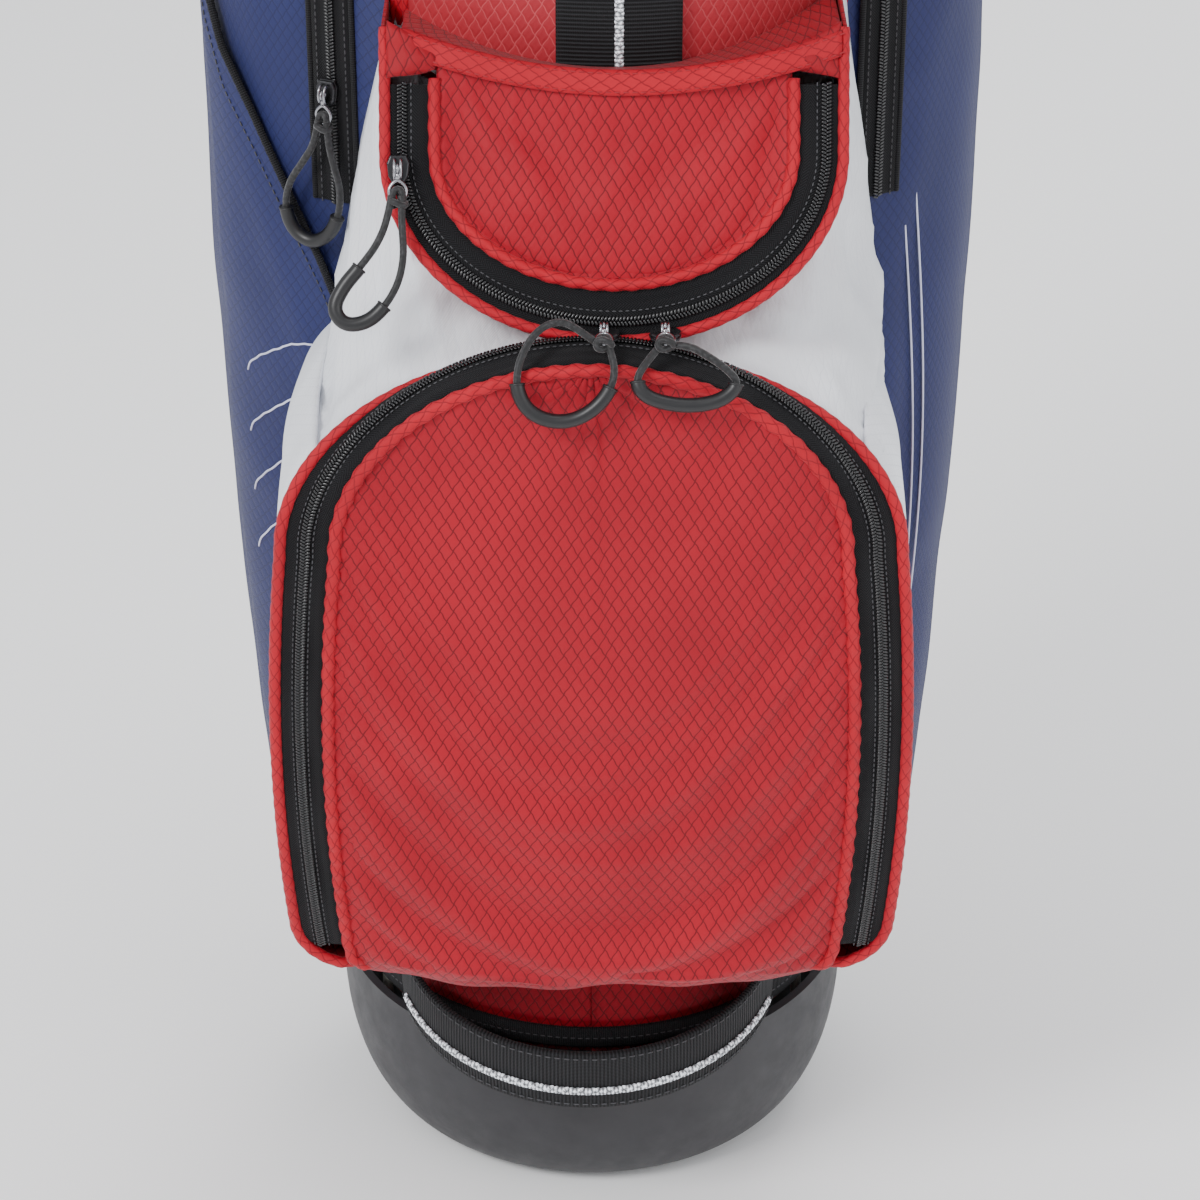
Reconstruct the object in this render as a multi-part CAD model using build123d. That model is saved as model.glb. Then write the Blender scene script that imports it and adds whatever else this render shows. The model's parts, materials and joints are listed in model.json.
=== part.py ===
from build123d import *
import math
import os

# Golf stand bag. Millimetres, +Z up, ball pocket towards -Y, legs on the +Y side.
# The origin is the middle of the base's underside, on the floor.

# ---- driving dimensions ----
TUBE_R_LOW = 111.0          # outside of the fabric tube at the base
TUBE_R_TOP = 116.0          # outside of the fabric tube at the collar
TUBE_WALL = 3.0
TUBE_Z0 = 56.0
TUBE_Z1 = 800.0
SEAM_GAP = 0.4              # clearance between separate soft pieces

BASE_R = 121.0              # moulded base, outside
BASE_TOP_Z = 88.0
BASE_CURVE_R = 30.0         # radial part of the bowl's rounding
BASE_CURVE_Z = 70.0         # vertical part of the bowl's rounding
BASE_LIFT = 1.5             # the bowl's edge hangs this far above the floor
BASE_WALL = 4.0

FOOT_R = 82.0               # hinged foot plate under the base
FOOT_T = 6.0
SOLE_T = 2.0
FOOT_GAP = 1.5
HINGE_Y = 94.0              # heel hinge, where the bag tips back onto its legs
HINGE_Z = 8.0
HINGE_PIN_R = 2.5
RUN_GAP = 0.05              # running clearance of every pin
LEAN_MAX = 32.0             # degrees that the bag tips back

LEG_X = 48.0                # leg pivots
LEG_Y = 127.0
LEG_Z = 775.0
LEG_LENGTH = 670.0          # pivot to the underside of the foot
LEG_SPLAY_X = 165.0         # sideways reach of a foot from its pivot, on the floor
LEG_TUBE_R = 6.5
LEG_PIN_R = 2.5

ROD_R = 3.0                 # push rod between the foot plate and the legs
ROD_Y = 126.0
ROD_Z0 = 15.4

COLLAR_R = 122.0
COLLAR_Z0 = 790.0
COLLAR_Z1 = 880.0

BALL_Y = -198.0             # ball pocket: foremost point of its crowned front
BALL_CROWN_R = 900.0
BALL_CROWN_Z = 370.0
BALL_ARCH_HALF = 125.0      # half width where the arched top springs
BALL_ARCH_RISE = 86.0
BALL_TOP_SHARE = 0.19       # the zip rolls over the top edge, so it is narrow there
BALL_SPRING_Z = 390.0
BALL_WIDEST_HALF = 131.0
BALL_WIDEST_Z = 275.0
BALL_BOTTOM_HALF = 128.0
BALL_BOTTOM_Z = 176.0
BALL_CORNER_R = 24.0
BALL_BACK_Y = -50.0
BALL_ZIP_INSET = 16.0       # zip line, in from the outer edge
POCKET_WALL = 3.0
ZIP_TEETH_W = 4.0
FLAP_T = 5.0

UPPER_X = 9.0               # accessory pocket sits a little off the centre line
UPPER_HALF = 90.0
UPPER_TOP_Z = 588.0
UPPER_BOTTOM_Z = 476.0
UPPER_TOP_Y = -118.0        # slanted front: top edge and bottom edge
UPPER_BOTTOM_Y = -173.0
UPPER_ZIP_INSET = 12.0

SIDE_HALF_X = 165.0         # apparel pockets: half width over both
SIDE_HALF_LOW = 149.0
SIDE_HALF_Y = 88.0
SIDE_Y = 8.0
SIDE_Z0 = 135.0
SIDE_ZM = 450.0
SIDE_Z1 = 785.0

WEB_W = 50.0                # spine webbing
HANDLE_W = 34.0             # carry webbing at the base
WEB_T = 2.2

CORD_R = 1.5                # zip-pull cords
SLEEVE_R = 2.9              # rubber sleeve on the bottom of each loop

EPS = 0.01


# ---- helpers ----
def prism_y(face, y_front, y_back):
    """A face drawn in x and z, drawn out along Y."""
    plane = Plane((0, y_back, 0), x_dir=(1, 0, 0), z_dir=(0, -1, 0))
    return extrude(plane * face, amount=y_back - y_front)


def block(x0, x1, y0, y1, z0, z1):
    return Pos((x0 + x1) / 2, (y0 + y1) / 2, (z0 + z1) / 2) * Box(abs(x1 - x0), y1 - y0, z1 - z0)


def post(x, y, z0, z1, r):
    return Pos(x, y, (z0 + z1) / 2) * Cylinder(r, z1 - z0)


def bar_x(x0, x1, y, z, r):
    return Pos((x0 + x1) / 2, y, z) * Rot(0, 90, 0) * Cylinder(r, abs(x1 - x0))


def cone(r0, r1, z0, z1):
    profile = make_face(Polyline((0, z0), (r0, z0), (r1, z1), (0, z1), close=True))
    return revolve(Plane.XZ * profile, axis=Axis.Z)


def tube_radius(z):
    """Outside radius of the fabric tube at a height."""
    part = (z - TUBE_Z0) / (TUBE_Z1 - TUBE_Z0)
    return TUBE_R_LOW + (TUBE_R_TOP - TUBE_R_LOW) * part


def tube_solid(grow, z0=TUBE_Z0, z1=TUBE_Z1):
    return cone(tube_radius(z0) + grow, tube_radius(z1) + grow, z0, z1)


def keep(node, shape):
    """Write one node."""
    shape.label = node
    export_step(shape, os.path.join("parts", node + ".step"))


os.makedirs("parts", exist_ok=True)

# ---- base: bowl, hinged foot plate, heel pin ----
def bowl(grow):
    """The bowl's outline turned about Z: vertical wall, elliptical rounding, flat bottom."""
    flat_r = BASE_R - BASE_CURVE_R
    bottom = BASE_LIFT - grow
    wall = BASE_R + grow
    turn = EllipticalCenterArc(
        (flat_r, bottom + BASE_CURVE_Z), BASE_CURVE_R + grow, BASE_CURVE_Z, start_angle=270, arc_size=90
    )
    edges = [
        Line((0, bottom), (flat_r, bottom)),
        turn,
        Line((wall, bottom + BASE_CURVE_Z), (wall, BASE_TOP_Z)),
        Line((wall, BASE_TOP_Z), (0, BASE_TOP_Z)),
        Line((0, BASE_TOP_Z), (0, bottom)),
    ]
    return revolve(Plane.XZ * make_face(edges), axis=Axis.Z)


recess_top = SOLE_T + FOOT_T + FOOT_GAP
floor_top = recess_top + BASE_WALL
heel = Pos(0, HINGE_Y, HINGE_Z) * Rot(-(LEAN_MAX + 2), 0, 0) * block(-150, 150, -1, 90, -60, -HINGE_Z + 1.0)
well_r = BASE_R - BASE_WALL
well_turn_z = floor_top + BASE_CURVE_Z * 0.6
well = make_face(
    Polyline(
        (0, floor_top),
        (well_r - BASE_CURVE_R, floor_top),
        (well_r, well_turn_z),
        (well_r, BASE_TOP_Z + 1),
        (0, BASE_TOP_Z + 1),
        close=True,
    )
)
cup = bowl(0) - revolve(Plane.XZ * well, axis=Axis.Z)
cup -= post(0, 0, -1, recess_top, FOOT_R + FOOT_GAP)
cup -= block(-44, 44, 40, 140, -1, 17)
cup -= block(-13, 13, ROD_Y - 10, 140, -1, BASE_TOP_Z + 1)
cup -= block(-13, 13, HINGE_Y - 8, 140, -1, 52)
cup -= heel
for side in (-1, 1):
    lug = bar_x(side * 37, side * 43.5, HINGE_Y, HINGE_Z, 5.5)
    lug += block(side * 37, side * 43.5, HINGE_Y - 5, HINGE_Y + 5, HINGE_Z, 18)
    cup += lug
cup -= bar_x(-50, 50, HINGE_Y, HINGE_Z, HINGE_PIN_R)
keep("base_cup", cup)

pin = bar_x(-43.5, 43.5, HINGE_Y, HINGE_Z, HINGE_PIN_R)
keep("heel_hinge_pin", pin)

foot = post(0, 0, SOLE_T, SOLE_T + FOOT_T, FOOT_R)
foot += block(-36, 36, 60, HINGE_Y, SOLE_T, SOLE_T + FOOT_T)
foot += bar_x(-36, 36, HINGE_Y, HINGE_Z, 5.5)
foot += block(-9, 9, HINGE_Y, ROD_Y + 7, HINGE_Z - 4, HINGE_Z + 4)
foot -= bar_x(-50, 50, HINGE_Y, HINGE_Z, HINGE_PIN_R + RUN_GAP)
keep("foot_plate", foot)

sole = post(0, 0, 0, SOLE_T, FOOT_R - 2)
sole += block(-34, 34, 60, HINGE_Y - 7, 0, SOLE_T)
keep("foot_sole", sole)

# ---- fabric tube, stays, dividers, collar ----
inner_r = TUBE_R_LOW - TUBE_WALL
tube = tube_solid(0) - tube_solid(-TUBE_WALL)
keep("body_shell", tube)

STAY_R = 2.5
stays = []
for angle in (20, 160, 200, 340):
    ring_r = inner_r - STAY_R - 1
    x = ring_r * math.cos(math.radians(angle))
    y = ring_r * math.sin(math.radians(angle))
    stays.append(post(x, y, floor_top + 34, TUBE_Z1 - 5, STAY_R))
keep("stay_rods", Compound(children=stays))

DIVIDER_T = 2.0
DIVIDER_Z1 = COLLAR_Z1 - 74
cross_r = inner_r - 8
divider_z0 = floor_top + 22
fabric = block(-cross_r, cross_r, -DIVIDER_T / 2, DIVIDER_T / 2, divider_z0, DIVIDER_Z1)
fabric += block(-DIVIDER_T / 2, DIVIDER_T / 2, -cross_r, cross_r, divider_z0, DIVIDER_Z1)
keep("divider_fabric", fabric)

BAR_R = 7.0
bars_z = DIVIDER_Z1 + SEAM_GAP + BAR_R
rim_inner = COLLAR_R - 13
bars = bar_x(-rim_inner - 1, rim_inner + 1, 0, bars_z, BAR_R)
bars += Rot(0, 0, 90) * bar_x(-rim_inner - 1, rim_inner + 1, 0, bars_z, BAR_R)
bars &= post(0, 0, bars_z - 20, bars_z + 20, rim_inner - SEAM_GAP)
keep("divider_bars", bars)

collar_profile = make_face(
    [
        Line((rim_inner, COLLAR_Z1 - 8), (rim_inner, TUBE_Z1 + 1)),
        Line((rim_inner, TUBE_Z1 + 1), (TUBE_R_TOP + SEAM_GAP, TUBE_Z1 + 1)),
        Line((TUBE_R_TOP + SEAM_GAP, TUBE_Z1 + 1), (TUBE_R_TOP + SEAM_GAP, COLLAR_Z0)),
        Line((TUBE_R_TOP + SEAM_GAP, COLLAR_Z0), (COLLAR_R, COLLAR_Z0)),
        Line((COLLAR_R, COLLAR_Z0), (COLLAR_R + 2, COLLAR_Z1 - 8)),
        ThreePointArc(
            (COLLAR_R + 2, COLLAR_Z1 - 8),
            ((COLLAR_R + 2 + rim_inner) / 2, COLLAR_Z1),
            (rim_inner, COLLAR_Z1 - 8),
        ),
    ]
)
collar = revolve(Plane.XZ * collar_profile, axis=Axis.Z)
# finger cut-outs under the two moulded grips, front and back
GRIP_HALF = 38.0
GRIP_Z0 = COLLAR_Z1 - 52
GRIP_Z1 = COLLAR_Z1 - 24
for side in (-1, 1):
    window = block(-GRIP_HALF, GRIP_HALF, side * 80 - 60, side * 80 + 60, GRIP_Z0, GRIP_Z1)
    collar -= window
keep("top_collar", collar)

binding = post(0, 0, BASE_TOP_Z + SEAM_GAP, BASE_TOP_Z + 11, tube_radius(BASE_TOP_Z + 11) + 2.4)
binding -= tube_solid(SEAM_GAP, BASE_TOP_Z - 5, BASE_TOP_Z + 20)
binding -= block(-9, 9, ROD_Y - 13, 140, BASE_TOP_Z - 5, BASE_TOP_Z + 20)
keep("base_binding", binding)

# ---- legs: closed direction, open direction and the axis that joins them ----
lean = math.radians(LEAN_MAX)
arm_y = LEG_Y - HINGE_Y
arm_z = LEG_Z - HINGE_Z
pivot_height = HINGE_Z + arm_z * math.cos(lean) - arm_y * math.sin(lean)
reach = math.sqrt(LEG_LENGTH**2 - pivot_height**2)
reach_y = math.sqrt(reach**2 - LEG_SPLAY_X**2)
open_x = LEG_SPLAY_X / LEG_LENGTH
open_y = (reach_y * math.cos(lean) + pivot_height * math.sin(lean)) / LEG_LENGTH
open_z = (reach_y * math.sin(lean) - pivot_height * math.cos(lean)) / LEG_LENGTH
LEG_SWING = math.degrees(math.acos(-open_z))
LEG_YAW = math.degrees(math.atan2(open_x, open_y))
print("leg swing", round(LEG_SWING, 3), "axis yaw", round(LEG_YAW, 3))

EYE_R = 9.0
EYE_W = 14.0
EAR_T = 5.0
EAR_GAP = 0.4
FOOT_PAD_R = 11.0


def at_pivot(shape, side):
    """Place a shape made about a pivot at the origin, hinge along X."""
    return Pos(side * LEG_X, LEG_Y, LEG_Z) * Rot(0, 0, -side * LEG_YAW) * shape


def leg_head(side):
    eye = bar_x(-EYE_W / 2, EYE_W / 2, 0, 0, EYE_R)
    eye += block(-EYE_W / 2, EYE_W / 2, 0, 30, -4, 4)
    eye += post(0, 0, -52, 0, LEG_TUBE_R + 2.5) & block(-EYE_W / 2, EYE_W / 2, -20, 20, -60, 0)
    eye -= post(0, 0, -60, -14, LEG_TUBE_R)
    eye -= bar_x(-20, 20, 0, 0, LEG_PIN_R + RUN_GAP)
    return at_pivot(eye, side)


def leg_tube(side):
    outer = post(0, 0, -(LEG_LENGTH - 10), -14 - EPS, LEG_TUBE_R - EPS)
    outer -= post(0, 0, -(LEG_LENGTH - 9), -13, LEG_TUBE_R - 1.2)
    return at_pivot(outer, side)


def leg_foot(side):
    cap_z = -(LEG_LENGTH - FOOT_PAD_R)
    cap = Pos(0, 0, cap_z) * Sphere(FOOT_PAD_R)
    cap += post(0, 0, cap_z, cap_z + 26, LEG_TUBE_R + 2.5)
    cap -= post(0, 0, -(LEG_LENGTH - 10), 0, LEG_TUBE_R)
    return at_pivot(cap, side)


bracket = block(-78, 78, 84, 120, LEG_Z - 26, LEG_Z + 14)
pins = []
for side in (-1, 1):
    ear_x = EYE_W / 2 + EAR_GAP
    for hand in (-1, 1):
        x0 = min(hand * ear_x, hand * (ear_x + EAR_T))
        ear = bar_x(x0, x0 + EAR_T, 0, 0, EYE_R)
        ear += block(x0, x0 + EAR_T, -30, 0, -EYE_R, EYE_R)
        bracket += at_pivot(ear, side)
    hole = bar_x(-ear_x - EAR_T - 1, ear_x + EAR_T + 1, 0, 0, LEG_PIN_R)
    bracket -= at_pivot(hole, side)
    room = bar_x(-ear_x, ear_x, 0, 0, EYE_R + 2) + block(-ear_x, ear_x, -EYE_R - 2, 30, -80, 0)
    bracket -= at_pivot(room, side)
    pins.append(at_pivot(bar_x(-ear_x - EAR_T, ear_x + EAR_T, 0, 0, LEG_PIN_R), side))
bracket -= tube_solid(SEAM_GAP, LEG_Z - 60, TUBE_Z1)
bracket -= post(0, ROD_Y, LEG_Z - 60, LEG_Z + 40, ROD_R + 2)
bracket -= post(0, 0, COLLAR_Z0 - SEAM_GAP, COLLAR_Z0 + 40, COLLAR_R + 3)
keep("leg_bracket", bracket)
keep("leg_pivot_pins", Compound(children=pins))
for side, hand in ((-1, "left"), (1, "right")):
    keep("leg_head_" + hand, leg_head(side))
    keep("leg_tube_" + hand, leg_tube(side))
    keep("leg_foot_" + hand, leg_foot(side))

# ---- push rod and its guides ----
cross_z = LEG_Z - 4 - 3.5
rod = post(0, ROD_Y, ROD_Z0, cross_z - 5, ROD_R)
rod += Pos(0, ROD_Y, ROD_Z0) * Sphere(ROD_R)
rod += block(-6, 6, ROD_Y - 3, LEG_Y + 30, cross_z - 10, cross_z - 5)
rod += block(-66, 66, LEG_Y + 22, LEG_Y + 30, cross_z - 10, cross_z)
keep("push_rod", rod)

guides = []
for z in (210.0, 430.0, 640.0):
    guide = block(-8, 8, 104, ROD_Y + 7, z - 7, z + 7)
    guide -= tube_solid(SEAM_GAP, z - 20, z + 20)
    guide -= post(0, ROD_Y, z - 20, z + 20, ROD_R + 0.08)
    guides.append(guide)
keep("rod_guides", Compound(children=guides))


# ---- side apparel pockets ----
def side_lobe(grow):
    """Both side pockets as one elliptical column."""
    sections = []
    for z, half in ((SIDE_Z0 - grow, SIDE_HALF_LOW), (SIDE_ZM, SIDE_HALF_X), (SIDE_Z1 + grow, SIDE_HALF_X - 9)):
        oval = Ellipse(half + grow, SIDE_HALF_Y + grow)
        sections.append(Pos(0, SIDE_Y, z) * oval)
    return loft(sections)


lobe = side_lobe(0)
lobe_inside = side_lobe(-POCKET_WALL)
lobe_clear = side_lobe(SEAM_GAP)
SIDE_ZIP_Z0 = 490.0
SIDE_ZIP_Z1 = 760.0
SIDE_ZIP_W = 12.0


def lobe_half_x(z):
    """Half width of the side pockets at a height, with straight-line taper."""
    return SIDE_HALF_X if z < SIDE_ZM else SIDE_HALF_X - 9 * (z - SIDE_ZM) / (SIDE_Z1 - SIDE_ZM)


def lobe_point(x, z):
    """Front surface point above x, and its outward normal's angle from -Y."""
    half = lobe_half_x(z)
    y = SIDE_Y - SIDE_HALF_Y * math.sqrt(1 - (x / half) ** 2)
    turn = math.degrees(math.atan2(x / half**2, (SIDE_Y - y) / SIDE_HALF_Y**2))
    return y, turn


def side_zip(side, x):
    """Tape with its row of teeth, laid just off the pocket's front."""
    z_mid = (SIDE_ZIP_Z0 + SIDE_ZIP_Z1) / 2
    height = SIDE_ZIP_Z1 - SIDE_ZIP_Z0
    y, turn = lobe_point(x, z_mid)
    tape = Pos(0, -2.6, 0) * Box(SIDE_ZIP_W, 1.2, height)
    tape += Pos(0, -3.6, 0) * Box(ZIP_TEETH_W, 1.2, height)
    return Pos(side * x, y, z_mid) * Rot(0, 0, side * turn) * tape


side_room = lobe - lobe_inside - tube_solid(SEAM_GAP, SIDE_Z0 - 20, TUBE_Z1)
SIDE_ZIP_X = {-1: 106.0, 1: 119.0}
for side, hand in ((-1, "left"), (1, "right")):
    x_in, x_out = sorted((side * 60.0, side * 200.0))
    keep("side_pocket_" + hand, side_room & block(x_in, x_out, -120, 120, SIDE_Z0 - 9, SIDE_Z1 + 9))
    keep("side_zip_" + hand, side_zip(side, SIDE_ZIP_X[side]))


# ---- ball pocket ----
def ball_outline(inset, top_inset=None):
    """Bottom edge, bowed sides and arched top, moved in by an inset."""
    if top_inset is None:
        top_inset = inset
    arch = BALL_ARCH_HALF - inset
    low = BALL_BOTTOM_HALF - inset
    wide = BALL_WIDEST_HALF - inset
    bottom = BALL_BOTTOM_Z + inset
    corner = max(BALL_CORNER_R - inset, 4.0)
    edges = [
        Line((-low + corner, bottom), (low - corner, bottom)),
        RadiusArc((low - corner, bottom), (low, bottom + corner), -corner),
        ThreePointArc((low, bottom + corner), (wide, BALL_WIDEST_Z), (arch, BALL_SPRING_Z)),
        EllipticalCenterArc((0, BALL_SPRING_Z), arch, BALL_ARCH_RISE - top_inset, start_angle=0, arc_size=180),
        ThreePointArc((-arch, BALL_SPRING_Z), (-wide, BALL_WIDEST_Z), (-low, bottom + corner)),
        RadiusArc((-low, bottom + corner), (-low + corner, bottom), -corner),
    ]
    return make_face(edges)


def zip_outline(inset):
    """The outline moved in along the front, where the top edge takes only a share of the inset."""
    if inset <= BALL_ZIP_INSET:
        return ball_outline(inset, inset * BALL_TOP_SHARE)
    return ball_outline(inset, BALL_ZIP_INSET * BALL_TOP_SHARE + (inset - BALL_ZIP_INSET) / 2)


def crown(depth):
    """The crowned front, as the inside of a large sphere set back by a depth."""
    return Pos(0, BALL_Y + BALL_CROWN_R, BALL_CROWN_Z) * Sphere(BALL_CROWN_R - depth)


FRONT_Y = BALL_Y - 30.0
tube_clear = tube_solid(SEAM_GAP)
pocket = prism_y(ball_outline(0), FRONT_Y, BALL_BACK_Y) & crown(0)
pocket -= prism_y(ball_outline(POCKET_WALL), FRONT_Y, BALL_BACK_Y + 10) & crown(POCKET_WALL)
pocket -= prism_y(zip_outline(BALL_ZIP_INSET), FRONT_Y, -130)
pocket -= tube_clear
pocket -= lobe_clear
ROOF_Z = 400.0
ROOF_Y = -160.0
roof_zone = block(-160, 160, ROOF_Y, -40, ROOF_Z, 520)
keep("ball_pocket_gusset", pocket - block(-160, 160, ROOF_Y - SEAM_GAP, -40, ROOF_Z - SEAM_GAP, 520))

TAPE_T = 1.2
zip_zone = block(-160, 160, -260, -100, BALL_BOTTOM_Z + 28, 520)
tape = (prism_y(zip_outline(4), FRONT_Y, -130) & crown(-SEAM_GAP - TAPE_T)) - crown(-SEAM_GAP)
tape -= prism_y(zip_outline(BALL_ZIP_INSET - 0.5), FRONT_Y, -130)
keep("ball_zip_tape", tape & zip_zone)

teeth = prism_y(zip_outline(BALL_ZIP_INSET), FRONT_Y, -130)
teeth -= prism_y(zip_outline(BALL_ZIP_INSET + ZIP_TEETH_W), FRONT_Y, -130)
teeth = (teeth & crown(-2.4)) - crown(-SEAM_GAP)
keep("ball_zip_teeth", teeth & zip_zone)

FLAP_INSET = BALL_ZIP_INSET + 0.8
flap = (prism_y(zip_outline(FLAP_INSET), FRONT_Y, -130) & crown(0)) - crown(FLAP_T)
keep("ball_flap", flap)

# ---- white shoulder over the ball pocket ----
SHOULDER_TOP_Z = 600.0
shoulder = pocket & roof_zone
wings = []
for side in (-1, 1):
    low = Plane((0, 0, ROOF_Z + 14)) * make_face(
        Polyline((side * 70, -150), (side * 106, -110), (side * 108, -72), (side * 60, -60), close=True)
    )
    high = Plane((0, 0, SHOULDER_TOP_Z)) * make_face(
        Polyline((side * 66, -104), (side * 78, -92), (side * 84, -80), (side * 60, -60), close=True)
    )
    wings.append(loft([low, high]))
pocket_air = prism_y(ball_outline(-SEAM_GAP), FRONT_Y, BALL_BACK_Y) & crown(-SEAM_GAP)
shoulder_cut = tube_clear + lobe_clear


def upper_outline(inset):
    """The accessory pocket's U: straight top, straight sides, round bottom."""
    half = UPPER_HALF - inset
    bottom = UPPER_BOTTOM_Z + inset
    top = UPPER_TOP_Z - inset * 0.3
    turn_z = UPPER_BOTTOM_Z + 66
    edges = [
        Line((UPPER_X - half, turn_z), (UPPER_X - half, top)),
        Line((UPPER_X - half, top), (UPPER_X + half, top)),
        Line((UPPER_X + half, top), (UPPER_X + half, turn_z)),
        EllipticalCenterArc((UPPER_X, turn_z), half, turn_z - bottom, start_angle=180, arc_size=180),
    ]
    return make_face(edges)


slant = math.degrees(math.atan2(UPPER_TOP_Y - UPPER_BOTTOM_Y, UPPER_TOP_Z - UPPER_BOTTOM_Z))


def behind_slant(depth):
    """Everything behind the accessory pocket's slanted front, set back by a depth."""
    mass = block(-200, 200, depth, 300, -400, 300)
    return Pos(0, UPPER_TOP_Y, UPPER_TOP_Z) * Rot(-slant, 0, 0) * mass


upper_air = prism_y(upper_outline(-SEAM_GAP), -230, -60) & behind_slant(-SEAM_GAP)
upper = prism_y(upper_outline(0), -230, -60) & behind_slant(0)
upper -= prism_y(upper_outline(POCKET_WALL), -230, -60) & behind_slant(POCKET_WALL)
upper -= prism_y(upper_outline(UPPER_ZIP_INSET), -230, -90) - behind_slant(POCKET_WALL + 3)
upper -= tube_clear
upper -= lobe_clear
upper -= pocket_air
keep("upper_pocket_shell", upper)

shoulder_parts = [shoulder - upper_air]
for wing in wings:
    piece = wing - shoulder_cut - pocket_air - upper_air
    shoulder_parts.append(piece)
keep("shoulder_gusset", Compound(children=shoulder_parts))

upper_zip_zone = block(-160, 160, -260, -60, 400, UPPER_TOP_Z - 12)
upper_tape = (prism_y(upper_outline(3), -240, -60) & behind_slant(-SEAM_GAP - TAPE_T)) - behind_slant(-SEAM_GAP)
upper_tape -= prism_y(upper_outline(UPPER_ZIP_INSET - ZIP_TEETH_W - 0.5), -240, -60)
keep("upper_zip_tape", upper_tape & upper_zip_zone)

upper_teeth = prism_y(upper_outline(UPPER_ZIP_INSET - ZIP_TEETH_W), -240, -60)
upper_teeth -= prism_y(upper_outline(UPPER_ZIP_INSET), -240, -60)
upper_teeth = (upper_teeth & behind_slant(-2.4)) - behind_slant(-SEAM_GAP)
keep("upper_zip_teeth", upper_teeth & upper_zip_zone)

UPPER_FLAP_T = 4.0
upper_flap = prism_y(upper_outline(UPPER_ZIP_INSET + 0.8), -240, -60)
upper_flap = (upper_flap & behind_slant(0)) - behind_slant(UPPER_FLAP_T)
upper_flap &= block(-160, 160, -260, -60, 400, UPPER_TOP_Z - 8)
keep("upper_flap", upper_flap)



# ---- webbing: spine, carry handle, base handle ----
SPINE_X = UPPER_X + 2
spine = tube_solid(SEAM_GAP + WEB_T, UPPER_TOP_Z + 5, COLLAR_Z0 - 4) - tube_solid(SEAM_GAP, UPPER_TOP_Z, TUBE_Z1)
spine &= block(SPINE_X - WEB_W / 2, SPINE_X + WEB_W / 2, -140, 0, UPPER_TOP_Z, TUBE_Z1)
keep("spine_webbing", spine)


def bow(start, middle, end, thick):
    """A band along a circular arc through three points, its thickness on the inside."""
    outer = ThreePointArc(start, middle, end)
    centre = outer.arc_center
    inner = []
    for point in (start, middle, end):
        ray = Vector(*point) - centre
        inner.append(centre + ray * ((outer.radius - thick) / outer.radius))
    edges = [
        outer,
        Line(end, inner[2]),
        ThreePointArc(inner[2], inner[1], inner[0]),
        Line(inner[0], start),
    ]
    return make_face(edges)


def strap_band(x_mid, width, start, middle, end, thick):
    """A bow drawn in y and z, drawn out along X."""
    plane = Plane((x_mid - width / 2, 0, 0), x_dir=(0, 1, 0), z_dir=(1, 0, 0))
    return extrude(plane * bow(start, middle, end, thick), amount=width)


web_front = -(TUBE_R_TOP + WEB_T + 1.6)
keep("carry_handle", strap_band(SPINE_X, 32, (web_front, 652), (web_front - 40, 694), (web_front, 736), 7))

STRAP_X = 56.0
STRAP_W = 48.0
strap_top = (-124, 784)
strap_mid = (-168, 716)
strap_low = (-124, 648)
anchors = []
for side, hand in ((-1, "left"), (1, "right")):
    x_mid = SPINE_X + side * STRAP_X
    keep("shoulder_strap_" + hand, strap_band(x_mid, STRAP_W, strap_top, strap_mid, strap_low, 11))
    for z in (641, 778):
        anchor = block(x_mid - 15, x_mid + 15, -121, -70, z, z + 8)
        anchors.append(anchor - tube_clear - lobe_clear)
keep("strap_anchors", Compound(children=anchors))

HANDLE_ENDS = ((-88, -83), (0, -152), (84, -85))
HANDLE_Z0 = 92.0
HANDLE_AXIS_Y = -81.0
HANDLE_AXIS_Z = HANDLE_Z0 + HANDLE_W / 2
HANDLE_DROOP = 10.0
sling = extrude(Plane((0, 0, HANDLE_Z0)) * bow(*HANDLE_ENDS, WEB_T), amount=HANDLE_W)
pivot = Pos(0, HANDLE_AXIS_Y, HANDLE_AXIS_Z)
sling = pivot * Rot(HANDLE_DROOP, 0, 0) * Pos(0, -HANDLE_AXIS_Y, -HANDLE_AXIS_Z) * sling
keep("base_handle", sling)

tabs = []
for x, y in (HANDLE_ENDS[0], HANDLE_ENDS[2]):
    turn = math.degrees(math.atan2(x, -y))
    z_low = BASE_TOP_Z + 14
    tab = block(-HANDLE_W / 2, HANDLE_W / 2, -140, 0, z_low, BALL_BOTTOM_Z - 6)
    ring = tube_solid(SEAM_GAP + WEB_T, z_low - 5, BALL_BOTTOM_Z) - tube_solid(SEAM_GAP, z_low - 5, BALL_BOTTOM_Z)
    tabs.append(ring & (Rot(0, 0, turn) * tab))
keep("handle_tabs", Compound(children=tabs))

# ---- zip sliders, their tabs, cords and sleeves ----
SLIDER_BACK = -4.6          # slider's underside, in front of the zip's local origin
BAR_Y = -10.0               # cross bar that the tab swings on
BAR_RADIUS = 0.9
RING_R = 4.2
RING_DROP = 8.5             # ring's centre from the bar
RING_HOLE = 2.3
TAB_T = 1.4


def cord_path(points):
    """Straight runs joined by tangent arcs, each as large as its runs allow."""
    places = [Vector(*point) for point in points]
    radii = []
    for before, here, after in zip(places, places[1:], places[2:]):
        turn = math.radians((here - before).get_angle(after - here))
        shorter = min((here - before).length, (after - here).length)
        radii.append(min(0.45 * shorter / math.tan(turn / 2), 60.0))
    return FilletPolyline(*places, radius=radii), radii


def tube_along(path, radius):
    section = Plane(path @ 0, z_dir=path % 0) * Circle(radius)
    return sweep(section, path=path)


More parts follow.
